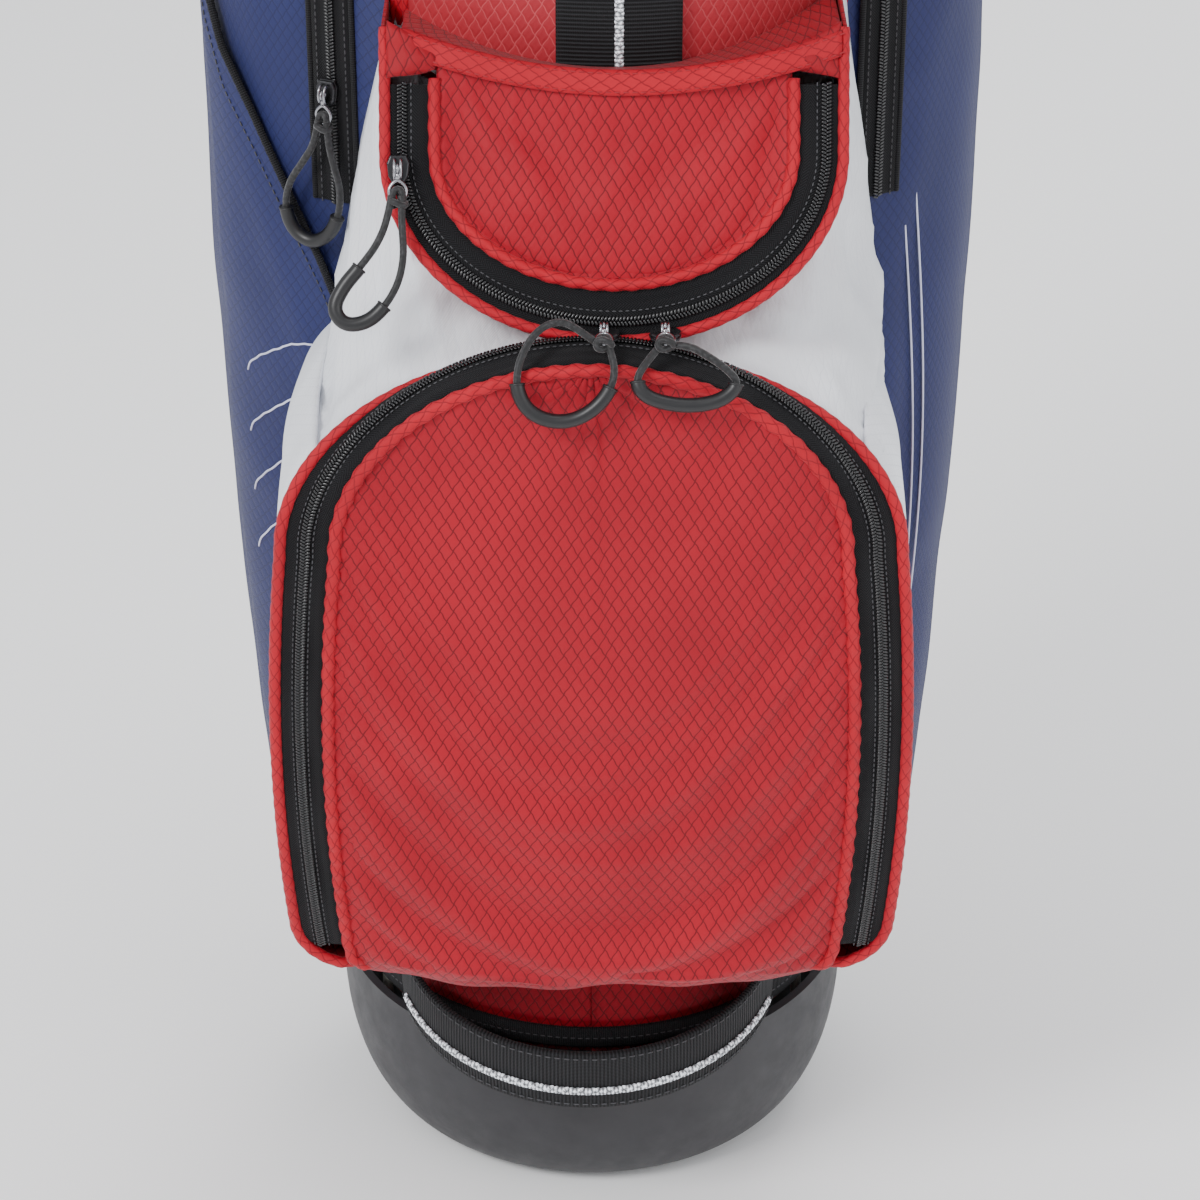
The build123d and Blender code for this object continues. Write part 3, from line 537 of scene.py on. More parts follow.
ROUND_LOOP = [
    (-1.9, -21.2, -2.4), (-8, -22, 3), (-16.5, -19.5, 7.5), (-25.5, -21, 4.5), (-32, -26.5, -3.5),
    (-34.5, -32, -13.5), (-31, -36, -22.5), (-22.5, -37.5, -27.5), (-12, -37.5, -27.5), (-3, -36, -22.5),
    (3, -33.5, -15), (4.5, -29, -7.5), (1.9, -22.4, -2.6),
]
FLAT_LOOP = [
    (-1.9, -21.2, -2.6), (-7.5, -27.5, -6.5), (-12, -32.5, -12.5), (-8, -35.5, -18), (2, -37, -20.5),
    (13, -37, -21), (23, -36, -18.5), (28.5, -33, -13), (23.5, -31, -8), (15, -28, -3),
    (7.5, -24.5, -0.5), (2.0, -21.5, -2.6),
]
joint_at = {joint["child"]: joint for joint in frame["joints"]}


class Pull:
    """Places a pull's local points: the origin is 10 mm behind the tab's bar."""

    def __init__(self, body, z_axis=(0, 0, 1)):
        joint = joint_at[body]
        self.bar = np.array(joint["pos_m"], dtype=float) / MM
        self.x = unit(-np.array(joint["axis"], dtype=float))
        self.z = unit(np.array(z_axis, dtype=float))
        self.y = np.cross(self.z, self.x)

    def world(self, points, pitch=0.0):
        """Local points, turned about the bar by a pitch in degrees, in the shared frame."""
        p = np.asarray(points, dtype=float).reshape(-1, 3) - (0, BAR_Y, 0)
        a = math.radians(-pitch)
        y = p[:, 1] * math.cos(a) - p[:, 2] * math.sin(a)
        z = p[:, 1] * math.sin(a) + p[:, 2] * math.cos(a)
        return self.bar + p[:, :1] * self.x + y[:, None] * self.y + z[:, None] * self.z


def nurbs(name, points):
    """A bare open curve that uses the route's own control points."""
    curve = bpy.data.curves.new(name, "CURVE")
    curve.dimensions = "3D"
    curve.resolution_u = 12
    spline = curve.splines.new("NURBS")
    spline.points.add(len(points) - 1)
    for target, point in zip(spline.points, np.asarray(points) * MM):
        target.co = (*point, 1)
    spline.order_u = 3
    spline.use_endpoint_u = True
    piece = bpy.data.objects.new(name, curve)
    collection.objects.link(piece)
    return piece


def route_points(piece):
    """The line that a bare curve follows, in millimetres."""
    bpy.context.view_layer.update()
    mesh = bpy.data.meshes.new_from_object(piece.evaluated_get(bpy.context.evaluated_depsgraph_get()))
    points = np.empty(len(mesh.vertices) * 3)
    mesh.vertices.foreach_get("co", points)
    bpy.data.meshes.remove(mesh)
    return points.reshape(-1, 3) / MM


def pull_cord(prefix, pull, loop, sleeve_from, sleeve_to, length):
    """One pull's cord loop with its rubber sleeve and the sleeve's two lips."""
    body = prefix + "_pull"
    world = pull.world(loop)
    cord = nurbs(prefix + "_cord_loop", world)
    line = route_points(cord)
    cord.data.bevel_depth = CORD_D / 2 * MM
    cord.data.bevel_resolution = 4
    cord.data.use_fill_caps = True
    cord.data.materials.append(cord_braid)
    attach(cord, body)
    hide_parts(prefix + "_pull_cord")
    ends = [int(np.argmin(np.linalg.norm(line - world[k], axis=1))) for k in (sleeve_from, sleeve_to - 1)]
    part = resample(line[ends[0]:ends[1] + 1], 0.8)
    sleeve = tube(prefix + "_sleeve", part, SLEEVE_R, sleeve_rubber, body, "rubber", sides=20)
    for index, ahead in ((0, 1), (-1, -2)):
        at = part[index]
        t = unit(part[ahead] - at)
        ring(prefix + "_sleeve_lip_%d" % abs(index), at + t * 0.5, t, SLEEVE_R - 0.25, 0.55,
                         sleeve_rubber, body, "rubber")
    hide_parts(prefix + "_pull_sleeve")


def ring(name, centre, axis, radius, wire, material, body, slot, squash=1.0, towards=None):
    """A wire ring about an axis; squash makes it oval along one direction."""
    axis = unit(np.asarray(axis, dtype=float))
    first = np.cross(axis, (0.3, 0.5, 0.81)) if towards is None else np.asarray(towards, dtype=float)
    first = unit(first - axis * np.dot(first, axis))
    second = np.cross(axis, first)
    turn = np.linspace(0, 2 * math.pi, 28, endpoint=False)[:, None]
    path = np.asarray(centre) + radius * (np.cos(turn) * first * squash + np.sin(turn) * second)
    return tube(name, path, wire, material, body, slot, sides=10, closed=True)


def slider_and_tab(prefix, pull, body_pull, half_x, half_z, pitch):
    """Slider: bevelled body, throat and bridge. Tab: eye, neck and ring."""
    outline = [(-0.72, 1.0), (0.72, 1.0), (1.0, 0.45), (0.86, -0.5), (0.5, -1.0), (-0.5, -1.0), (-0.86, -0.5),
               (-1.0, 0.45)]
    layers = [(-4.65, 0.90), (-4.9, 1.0), (-6.0, 1.0), (-6.15, 0.84), (-6.9, 0.84), (-7.05, 1.0),
              (-7.75, 0.96), (-8.0, 0.84)]
    points = [(x * half_x * s, y, z * half_z * s) for y, s in layers for x, z in outline]
    faces = grid_faces(len(layers), len(outline), wrap=True)
    faces.append(list(range(8))[::-1])
    faces.append([(len(layers) - 1) * 8 + c for c in range(8)])
    shell = make_piece(prefix + "_slider_body", pull.world(points), faces, slider_black, prefix + "_slider",
                       "gunmetal", smooth=False)
    soft = shell.modifiers.new("edges", "BEVEL")
    soft.width = 0.35 * MM
    soft.segments = 3
    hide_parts(prefix + "_slider")
    turn = np.linspace(0, math.pi, 15)
    bridge = np.stack([np.zeros(15), -7.6 - 3.9 * np.sin(turn) ** 0.8, half_z * 0.72 * np.cos(turn)], axis=1)
    for side in (-1, 1):
        rail = bridge + (side * 1.25, 0, 0)
        tube(prefix + "_slider_bridge_%s" % ("left" if side < 0 else "right"), pull.world(rail), 0.62,
             gunmetal,
             prefix + "_slider", "gunmetal", sides=8)
    eye = ring(prefix + "_tab_eye", pull.world([(0, BAR_Y, 0)])[0], pull.x, 1.75, 0.6, gunmetal, body_pull,
               "gunmetal")
    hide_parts(prefix + "_pull_tab")
    low = -RING_DROP
    wire = [(math.sin(t) * 3.3 * (1 - 0.35 * math.cos(t) ** 2 * (math.cos(t) > 0)), BAR_Y,
             low + 4.0 * math.cos(t))
            for t in np.linspace(0, 2 * math.pi, 36, endpoint=False)]
    tube(prefix + "_tab_ring", pull.world(wire, pitch), 0.8, gunmetal, body_pull, "gunmetal", sides=10,
         closed=True)
    neck = [(0, BAR_Y, -1.4), (0, BAR_Y, -2.6), (0, BAR_Y, -4.2)]
    tube(prefix + "_tab_neck", pull.world(neck, pitch), 1.15, gunmetal, body_pull, "gunmetal", sides=10)


def hitch(prefix, pull, body, pitch, drop=13.2, wide=3.0):
    """The cord's lark's-head hitch: one bight over the ring's wire and the collar below it."""
    bight = [(-1.7, BAR_Y + 0.3, -drop), (-2.3, BAR_Y - 1.2, -11.0), (-1.8, BAR_Y - 1.0, -8.2),
             (0, BAR_Y + 0.2, -7.2), (1.8, BAR_Y - 1.0, -8.2), (2.3, BAR_Y - 1.2, -11.0),
             (1.7, BAR_Y + 0.3, -drop)]
    line = smooth_path(pull.world(bight, pitch), 0.9, rounds=2)
    tube(prefix + "_hitch_bight", line, 1.35, cord_braid, body, "cord", sides=10)
    turn = np.linspace(0, 2 * math.pi, 26, endpoint=False)
    collar = np.stack([wide * np.cos(turn), BAR_Y - 0.7 + 2.1 * np.sin(turn),
                       -drop - 0.4 + 0.7 * np.sin(2 * turn)], axis=1)
    tube(prefix + "_hitch_collar", pull.world(collar, pitch), 1.35, cord_braid, body, "cord", sides=10,
         closed=True)


slider_black = moulded("slider_black", (0.035, 0.035, 0.038), 0.28, grain=0.6, depth=0.01, Metallic=0.7)
UPPER_SLANT = math.atan2(55.0, 112.0)
UPPER_Z_AXIS = (0, math.sin(UPPER_SLANT), math.cos(UPPER_SLANT))
PULLS = (
    ("side_left", (0, 0, 1), HANGING_LOOP, (4, 9), 0.127, (4.5, 5.5), 0),
    ("side_right", (0, 0, 1), HANGING_LOOP, (4, 9), 0.127, (4.5, 5.5), 0),
    ("upper", UPPER_Z_AXIS, TILTED_LOOP, (3, 9), 0.120, (4.5, 5.5), 0),
    ("ball_left", (0, 0, 1), ROUND_LOOP, (5, 11), 0.117, (6.5, 4.5), 82),
    ("ball_right", (0, 0, 1), FLAT_LOOP, (2, 8), 0.096, (6.5, 4.5), 82),
)
for prefix, z_axis, loop, sleeve, length, half, pitch in PULLS:
    pull = Pull(prefix + "_pull", z_axis)
    pull_cord(prefix, pull, loop, *sleeve, length)
    lying = pitch > 0
    body_frame = Pull(prefix + "_pull", z_axis)
    if lying:
        body_frame.y, body_frame.z = -body_frame.z, body_frame.y
    slider_and_tab(prefix, body_frame, prefix + "_pull", half[0], half[1], pitch - 90 if lying else 0)
    hitch(prefix, pull, prefix + "_pull", pitch)


# ---- the outlines that the soft pieces share with the CAD ----
TUBE_R_LOW, TUBE_R_TOP, TUBE_Z0, TUBE_Z1 = 111.0, 116.0, 56.0, 800.0
BALL_Y, CROWN_R, CROWN_Z = -198.0, 900.0, 370.0
ARCH_HALF, ARCH_RISE, SPRING_Z = 125.0, 86.0, 390.0
WIDEST_HALF, WIDEST_Z = 131.0, 275.0
BOTTOM_HALF, BOTTOM_Z, CORNER_R = 128.0, 176.0, 24.0
UPPER_X, UPPER_HALF, UPPER_TOP_Z, UPPER_BOTTOM_Z, UPPER_TURN_Z = 9.0, 90.0, 588.0, 476.0, 542.0
UPPER_TOP_Y = -118.0
SLANT = math.tan(UPPER_SLANT)
SIDE_Y, SIDE_HALF_Y = 8.0, 88.0
SPINE_X = UPPER_X + 2


def through(z, *knots):
    """Smooth curve through three (z, value) knots."""
    (a, fa), (b, fb), (c, fc) = knots
    return (fa * (z - b) * (z - c) / ((a - b) * (a - c)) + fb * (z - a) * (z - c) / ((b - a) * (b - c))
            + fc * (z - a) * (z - b) / ((c - a) * (c - b)))


def tube_r(z):
    """Radius of the tube at a height."""
    return TUBE_R_LOW + (TUBE_R_TOP - TUBE_R_LOW) * (z - TUBE_Z0) / (TUBE_Z1 - TUBE_Z0)


def crown_y(x, z):
    """The ball pocket's crowned front."""
    return BALL_Y + CROWN_R - np.sqrt(CROWN_R**2 - x**2 - (z - CROWN_Z) ** 2)


def lobe_half(z):
    """Half width of the two side pockets together at a height."""
    return through(z, (135, 149.0), (450, 165.0), (785, 156.0))


def front_y(x, z, gap=0.0):
    """Front surface of the tube and the side pockets together, rounded where they meet."""
    tube_front = np.sqrt(np.maximum((tube_r(z) + gap) ** 2 - x**2, 0.0))
    lobe_front = SIDE_HALF_Y * np.sqrt(np.maximum(1 - (x / lobe_half(z)) ** 2, 0.0)) - SIDE_Y + gap
    hi, lo = np.maximum(tube_front, lobe_front), np.minimum(tube_front, lobe_front)
    return -(hi + 2.5 * np.exp(-np.abs(hi - lo) / 4.0))


def fold(x, z, a, b, width, depth):
    """One crease or ridge running from a to b, fading out at its ends."""
    a, b = np.array(a, dtype=float), np.array(b, dtype=float)
    d = b - a
    size = np.hypot(*d)
    along = ((x - a[0]) * d[0] + (z - a[1]) * d[1]) / size**2
    off = ((x - a[0]) * d[1] - (z - a[1]) * d[0]) / size
    ends = np.clip(np.minimum(along, 1 - along) * 4 + 0.5, 0, 1)
    return depth * np.exp(-((off / width) ** 2)) * ends**2 * (3 - 2 * ends)


def with_folds(height, x, z, folds, gain=1.0):
    """A height map with every crease of a list added to it."""
    for a, b, width, depth in folds:
        height = height + gain * fold(x, z, a, b, width, depth)
    return height


def ruffle(x, z, size, seed=0.0):
    """Gentle uneven surface of slack cloth, from crossing waves."""
    a = np.sin(x / size + 1.7 * np.sin(z / (1.9 * size) + seed) + seed)
    b = np.sin(z / (1.3 * size) + 1.3 * np.sin(x / (2.3 * size) - seed) + 2.1 * seed)
    c = np.sin((x + z) / (0.7 * size) + 0.8 * a + seed)
    return (a * 0.5 + b * 0.4 + c * 0.25) / 1.15


# ---- cloth simulation ----
def sewn_edges(rows, cols, first, last):
    """Mask of a grid's sewn points: some first and last rows, and two columns on each side."""
    pinned = np.zeros((rows, cols), dtype=bool)
    pinned[:first] = pinned[-last:] = True
    pinned[:, :2] = pinned[:, -2:] = True
    return pinned.ravel()


def simulate(piece, pinned, slack, gravity, cap, frames=22, stiffness=12.0):
    """Lets a sewn panel settle between its pinned edges; no point moves further than the cap."""
    mesh = piece.data
    start = np.empty(len(mesh.vertices) * 3)
    mesh.vertices.foreach_get("co", start)
    held = piece.vertex_groups.new(name="held")
    held.add([int(k) for k in np.flatnonzero(pinned)], 1.0, "REPLACE")
    others = list(piece.modifiers)
    for other in others:
        other.show_viewport = False
    cloth = piece.modifiers.new("settle", "CLOTH")
    settings = cloth.settings
    settings.quality = 6
    settings.mass = 0.25
    settings.tension_stiffness = settings.compression_stiffness = stiffness
    settings.shear_stiffness = stiffness * 0.6
    settings.bending_stiffness = 0.6
    settings.vertex_group_mass = "held"
    settings.shrink_min = -slack
    settings.effector_weights.gravity = gravity
    cloth.collision_settings.use_collision = False
    cloth.point_cache.frame_start = 1
    cloth.point_cache.frame_end = frames
    for f in range(1, frames + 1):
        bpy.context.scene.frame_set(f)
    settled = piece.evaluated_get(bpy.context.evaluated_depsgraph_get())
    end = np.empty(len(settled.data.vertices) * 3)
    settled.data.vertices.foreach_get("co", end)
    bpy.context.scene.frame_set(1)
    piece.modifiers.remove(cloth)
    piece.vertex_groups.clear()
    for other in others:
        other.show_viewport = True
    move = end.reshape(-1, 3) - start.reshape(-1, 3)
    size = np.linalg.norm(move, axis=1, keepdims=True)
    limit = cap * MM
    move *= np.where(size > limit, limit / np.maximum(size, 1e-9), 1.0)
    mesh.vertices.foreach_set("co", (start.reshape(-1, 3) + move).ravel())
    mesh.update()


# ---- ball pocket ----
ZIP_Z0 = 188.0
ROLL = 27.0                     # how far back the zip rolls over the top edge
PIPE_IN = 21.0                  # inner piping, in from the outer edge


def ball_samples():
    """Even places along the sides and arch: (piece, parameter) with piece 0 left, 1 arch, 2 right."""
    side = np.linspace(0, 1, 400)
    piece = np.repeat([0, 1, 2], 400)
    part = np.tile(side, 3)
    line = ball_xz(piece, part, 10.0)
    s = lengths(line)
    at = np.linspace(0, s[-1], 361)
    return np.interp(at, s, piece + part * 0.999999)


def ball_xz(piece, part, inset, crest=0.0):
    """In-plane outline point, inset from the outer edge; crest lowers the arch instead of insetting it."""
    t = np.where(piece == 0, part, np.where(piece == 2, 1 - part, 1.0))
    z_side = ZIP_Z0 + (SPRING_Z - ZIP_Z0) * t
    half = through(z_side, (200, BOTTOM_HALF), (WIDEST_Z, WIDEST_HALF), (SPRING_Z, ARCH_HALF)) - inset
    phi = math.pi * (1 - part)
    x_arch = (ARCH_HALF - inset) * np.cos(phi)
    z_arch = SPRING_Z + (ARCH_RISE - crest) * np.sin(phi)
    x = np.where(piece == 1, x_arch, np.where(piece == 0, -half, half))
    z = np.where(piece == 1, z_arch, z_side)
    return np.stack([x, z], axis=-1)


BALL_P = ball_samples()


def ball_line(inset, p=None):
    """The zip band's line at an inset, rolled back over the pocket's top edge."""
    p = BALL_P if p is None else p
    piece = np.minimum(np.floor(p), 2).astype(int)
    part = p - piece
    rise = np.where(piece == 1, np.sin(math.pi * (1 - part)), 0.0)
    roll = rise**2
    crest = -2 + (0.1 if inset < 10 else 0.033) * (inset - 10) ** 2
    flat = ball_xz(piece, part, inset * (1 - roll * 0.86), inset * (1 - roll) + crest * roll)
    y = crown_y(flat[:, 0], flat[:, 1]) + roll * max(PIPE_IN - inset, 0.0) / PIPE_IN * ROLL
    return np.stack([flat[:, 0], y, flat[:, 1]], axis=-1)


def ball_normal(inset):
    line = ball_line(inset)
    inward = unit(ball_line(inset + 0.5) - line)
    return unit(np.cross(inward, unit(np.gradient(line, axis=0))))


def ball_pocket():
    """Zip band, teeth, stitching and both pipings, then the panel and the walls."""
    normal = ball_normal(10.0)
    outer = band("ball_zip_tape_outer", ball_line(2.2) - normal * 0.4, ball_line(9.6), normal, 0.9, zip_cloth,
                 "bag", "zip",
                 cols=9, wave=0.35)
    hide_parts("ball_zip_tape")
    band("ball_zip_tape_inner", ball_line(11.4), ball_line(20.6), normal, 0.9, zip_cloth, "ball_flap", "zip",
                 cols=9, wave=0.5)
    coil = coil_teeth("ball_zip_coil", ball_line(10.5) + normal * 1.1, normal, "ball_flap")
    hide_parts("ball_zip_teeth")
    for inset, hand in ((7.4, "outer"), (13.6, "inner")):
        body = "bag" if hand == "outer" else "ball_flap"
        stitches("ball_zip_stitch_" + hand, ball_line(inset) + normal * 1.15, normal, body, thread_grey, 1.6,
                 1.0, "zip")
    low = np.array([[-BOTTOM_HALF + CORNER_R * (1 - math.sin(a)), 0, BOTTOM_Z + CORNER_R * (1 - math.cos(a))]
                    for a in np.linspace(0, math.pi / 2, 9)])
    low[:, 0] = -(BOTTOM_HALF - CORNER_R + CORNER_R * np.sin(np.linspace(0, math.pi / 2, 9)))
    low[:, 1] = crown_y(low[:, 0], low[:, 2])
    low[0, 1] += 2
    edge = ball_line(0.0)
    edge = edge[edge[:, 2] > BOTTOM_Z + CORNER_R + 1]
    mirror = low[::-1] * (-1, 1, 1)
    outer_path = resample(np.concatenate([low, edge, mirror]), 1.6)
    tube("ball_piping_outer", outer_path + (0, -0.6, 0), 2.5, piping_cloth, "bag", "red_ripstop", sides=12,
         gather=0.05)
    inner_line = ball_line(PIPE_IN + 1.2)
    start = inner_line[:1] + np.array([[12, 6.5, -12.5], [5.5, 2.0, -11.5], [1.5, 0.2, -7.0]])
    end = inner_line[-1:] + np.array([[-1.5, 0.2, -7.0], [-5.5, 2.0, -11.5], [-12, 6.5, -12.5]])
    whole = resample(np.concatenate([start, inner_line, end]), 1.5)
    lift = np.interp(lengths(whole), [0, 8, 16], [0.3, 1.2, 1.8])[:, None]
    piping = tube("ball_piping_inner", whole + (0, -1.0, 0) * lift, 2.7, piping_cloth, None, "red_ripstop",
                  sides=12,
                  gather=0.13, pitch=8.5)
    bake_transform(piping)
    ball_panel()
    ball_gusset()


def ball_panel():
    """The red front: crowned, slack, fuller towards the bottom, with a soft wavy lower edge."""
    half_p = BALL_P[: len(BALL_P) // 2 + 1][::2]
    edge = ball_line(PIPE_IN + 2.2, half_p)
    lower_z = np.array([171.0, 173.5, 177.0, 181.0, 185.0])
    lower = np.stack([np.interp(lower_z, [171, 188], [-97.0, edge[0, 0]]), np.full(5, edge[0, 1]), lower_z],
                     axis=-1)
    lower[:, 1] = crown_y(lower[:, 0], lower[:, 2]) + np.array([9.0, 4.5, 1.8, 0.6, 0.1])
    edge = np.concatenate([lower, edge])
    u = np.linspace(-1, 1, 91)
    u = np.sign(u) * (1 - (1 - np.abs(u)) ** 1.15)
    half = -edge[:, 0:1]
    x = half * u[None, :]
    z = np.broadcast_to(edge[:, 2:3], x.shape).copy()
    tail = np.clip((200 - z) / 30, 0, 1)
    z += tail * (2.2 * np.sin(x / 17 + 0.6)
                 + 1.6 * np.sin(x / 7.5)) * (1 - np.abs(u[None, :]) ** 3) - tail * 3.5
    side = crown_y(half, edge[:, 2:3])
    y = crown_y(x, z) + (edge[:, 1:2] - side) * np.abs(u[None, :]) ** 3
    high = np.clip((z - 176) / 300, 0, 1)
    edge_dome = (1 - u[None, :] ** 2) ** 0.55
    top_dome = np.clip((474.5 - z) / 55, 0, 1) ** 0.5
    puff = (4.2 + 3.2 * (1 - high) + 0.8 * ruffle(x, z, 19, 0.4)) * edge_dome * top_dome
    puff = puff * np.clip((z - 168) / 16, 0.0, 1)
    puff = with_folds(puff, x, z, (
        ((-98, 250), (-30, 205), 9, 1.5), ((-95, 215), (-20, 190), 7, -1.6), ((100, 240), (20, 200), 8, 1.4),
        ((96, 205), (10, 186), 6, -1.5), ((-60, 196), (60, 192), 7, 1.4), ((-100, 300), (-70, 240), 7, -1.0),
        ((90, 330), (96, 250), 6, 0.9), ((-102, 420), (-60, 455), 6, -0.9), ((60, 458), (100, 410), 6, 0.8),
    ))
    near_edge = np.exp(-(1 - np.abs(u[None, :])) * half / 5.0)
    s = lengths(edge)[:, None]
    puff = puff + 0.75 * near_edge * np.sin(2 * math.pi * s / 8.5
                                            + 0.9 * np.sin(s / 11)) * (np.abs(u[None, :]) < 0.995)
    points = np.stack([x, y - puff, z], axis=-1)
    uv = np.stack([x, z], axis=-1)
    panel = sheet_grid("ball_front_panel", points, red_cloth, None, "red_ripstop", uv=uv, solid=1.4,
                       offset=1.0)
    pinned = sewn_edges(*points.shape[:2], 3, 4)
    simulate(panel, pinned, slack=0.018, gravity=1.0, cap=6.0)
    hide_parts("ball_flap")
    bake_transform(panel)


WHITE_SEAM_Z = 378.0


def ball_gusset():
    """Red side and bottom walls, from the outer piping back to the tube and side pockets."""
    arch = ball_line(0.0)
    cut = int(np.argmin(np.abs(arch[: len(arch) // 2, 2] - 432)))
    left = arch[cut::-1]
    left = left[left[:, 2] > BOTTOM_Z + CORNER_R]
    a = np.linspace(math.pi / 2, 0, 10)
    corner = np.stack([-(BOTTOM_HALF - CORNER_R + CORNER_R * np.sin(a)), 0 * a,
                       BOTTOM_Z + CORNER_R * (1 - np.cos(a))], -1)
    half_line = np.concatenate([left, corner, [[-60, 0, BOTTOM_Z], [0, 0, BOTTOM_Z]]])
    line = resample(np.concatenate([half_line, (half_line * (-1, 1, 1))[::-1][1:]]), 3.0)
    line[:, 1] = crown_y(line[:, 0], line[:, 2]) + 0.5
    back = front_y(line[:, 0], line[:, 2]) + 4.0
    tangent = unit(np.gradient(line, axis=0) * (1, 0, 1))
    outward = np.stack([tangent[:, 2], 0 * back, -tangent[:, 0]], axis=-1)
    outward *= np.sign(np.sum(outward * (line * (1, 0, 1) - (0, 0, 300)), axis=1, keepdims=True))
    d = np.linspace(0, 1, 26)
    s = lengths(line)
    swell = 3.2 * np.sin(math.pi * d[:, None]) + 1.1 * ruffle(s[None, :], 140 * d[:, None], 15,
                                                              1.1) * np.sin(math.pi * d[:, None])
    points = line[None, :] + outward[None, :] * swell[..., None]
    points[..., 1] = line[None, :, 1] + (back - line[:, 1])[None, :] * d[:, None]
    count = len(line)
    white = int(np.argmax(line[:, 2] < WHITE_SEAM_Z))
    for first, last, hand in ((0, white + 1, "left"), (count - white - 1, count, "right")):
        side = points[1:, first:last].copy()
        side[0] -= outward[first:last] * 2.6
        sheet_grid("shoulder_side_" + hand, side, white_cloth, "bag", "white_fabric", solid=1.6)
    red = slice(white, count - white)
    gusset = sheet_grid("ball_side_gusset", points[:, red], gusset_cloth, "bag", "red_ripstop", solid=1.6)
    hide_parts("ball_pocket_gusset")
    stitches("ball_gusset_stitches", (points[2] + outward * 0.5)[red], outward[red], "bag")


ball_pocket()


# ---- white shoulder between the pockets ----
SHOULDER_FOLDS = 2.1            # how much deeper its creases are than their listed depths


def shoulder():
    """White cloth from the ball pocket's top edge to the side pockets and up beside the accessory pocket."""
    arch = ball_line(0.0)
    keep_rows = arch[:, 2] > 425
    front = resample(arch[keep_rows], 3.0)
    share = lengths(front) / lengths(front)[-1]
    back_knots = np.array([
        (0.00, -113.0, 400.0), (0.06, -110.0, 425.0), (0.14, -104.0, 470.0), (0.24, -95.0, 520.0),
        (0.33, -84.0, 566.0),
        (0.37, -80.0, 594.0), (0.42, -70.0, 560.0), (0.50, 10.0, 556.0), (0.60, 90.0, 560.0),
        (0.65, 102.0, 594.0),
        (0.70, 105.0, 566.0), (0.78, 112.0, 520.0),
        (0.87, 119.0, 470.0), (0.94, 123.0, 430.0), (1.00, 124.0, 402.0),
    ])
    bx = np.interp(share, back_knots[:, 0], back_knots[:, 1])
    bz = np.interp(share, back_knots[:, 0], back_knots[:, 2])
    by = front_y(bx, bz) - 2.2
    back = np.stack([bx, by, bz], axis=-1)
    middle = np.clip(1 - np.abs(share - 0.5) / 0.22, 0, 1)[:, None] ** 0.7
    flat_control = np.stack([front[:, 0] * 0.75 + bx * 0.25, by + 4, front[:, 2] + 3], axis=-1)
    outer = np.sign(bx) * np.clip(np.abs(share - 0.5) / 0.5, 0, 1) ** 2
    side_control = (front + back) / 2 + np.stack([outer * 7, 0 * bx, np.full_like(bx, 5.0)], axis=-1)
    control = side_control * (1 - middle) + flat_control * middle
    d = np.linspace(0, 1, 44)[:, None, None] ** 1.1
    points = (1 - d) ** 2 * front + 2 * d * (1 - d) * control + d**2 * back
    x, z = points[..., 0], points[..., 2]
    lift = np.zeros_like(x)
    roll = np.exp(-(((d[..., 0] - 0.13) / 0.075) ** 2))
    s = share[None, :] * 300
    lift += roll * (4.6 + 1.5 * np.sin(s / 13)
                    + 0.9 * np.sin(s / 5.2 + 1)) * (0.4 + 0.6 * np.sin(math.pi * share[None, :]))
    lift = with_folds(lift, x, z, (
        ((-48, 492), (-104, 452), 6, 2.6), ((-62, 506), (-92, 470), 4, -2.0),
        ((-60, 478), (-118, 440), 5, -1.6),
        ((-76, 560), (-70, 505), 4, 1.2), ((82, 492), (120, 452), 6, 2.8), ((98, 512), (112, 462), 4.5, -2.2),
        ((70, 482), (118, 440), 5, 2.0), ((104, 560), (112, 500), 4, 1.6), ((60, 478), (100, 462), 3.5, -1.5),
        ((112, 540), (118, 470), 5, 1.2), ((-96, 500), (-104, 440), 5, 1.0),
    ), SHOULDER_FOLDS)
    lift += 0.8 * ruffle(x, z, 14, 0.8) * np.sin(math.pi * d[..., 0])
    lift *= np.clip(d[..., 0] / 0.04, 0, 1) * np.clip((1 - d[..., 0]) / 0.06, 0, 1)
    normal = unit(np.cross(np.gradient(points, axis=1), np.gradient(points, axis=0)))
    normal *= np.where(normal[..., 1:2] > 0, -1, 1)
    points = points + normal * lift[..., None]
    cloth = sheet_grid("shoulder_cloth", points, white_cloth, "bag", "white_fabric", solid=1.2)
    pinned = sewn_edges(*points.shape[:2], 2, 2)
    simulate(cloth, pinned, slack=0.012, gravity=0.6, cap=4.0)
    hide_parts("shoulder_gusset")


shoulder()


# ---- accessory pocket ----
UPPER_N = np.array([0.0, -math.cos(UPPER_SLANT), math.sin(UPPER_SLANT)])
UPPER_PIPE_IN = 19.0
UPPER_COUNT = 181               # points on each line round the pocket
UPPER_EDGE_TOP = 586.0          # where the outer piping and the side walls end
HEM_MIDDLE_Z, HEM_RISE = 570.5, 14.5
HEM_X = (-74.0, 98.0)
UPPER_DOWN = np.array([0, -math.sin(UPPER_SLANT), -math.cos(UPPER_SLANT)])


def upper_y(z):
    """The accessory pocket's slanting front plane."""
    return UPPER_TOP_Y - (UPPER_TOP_Z - z) * SLANT


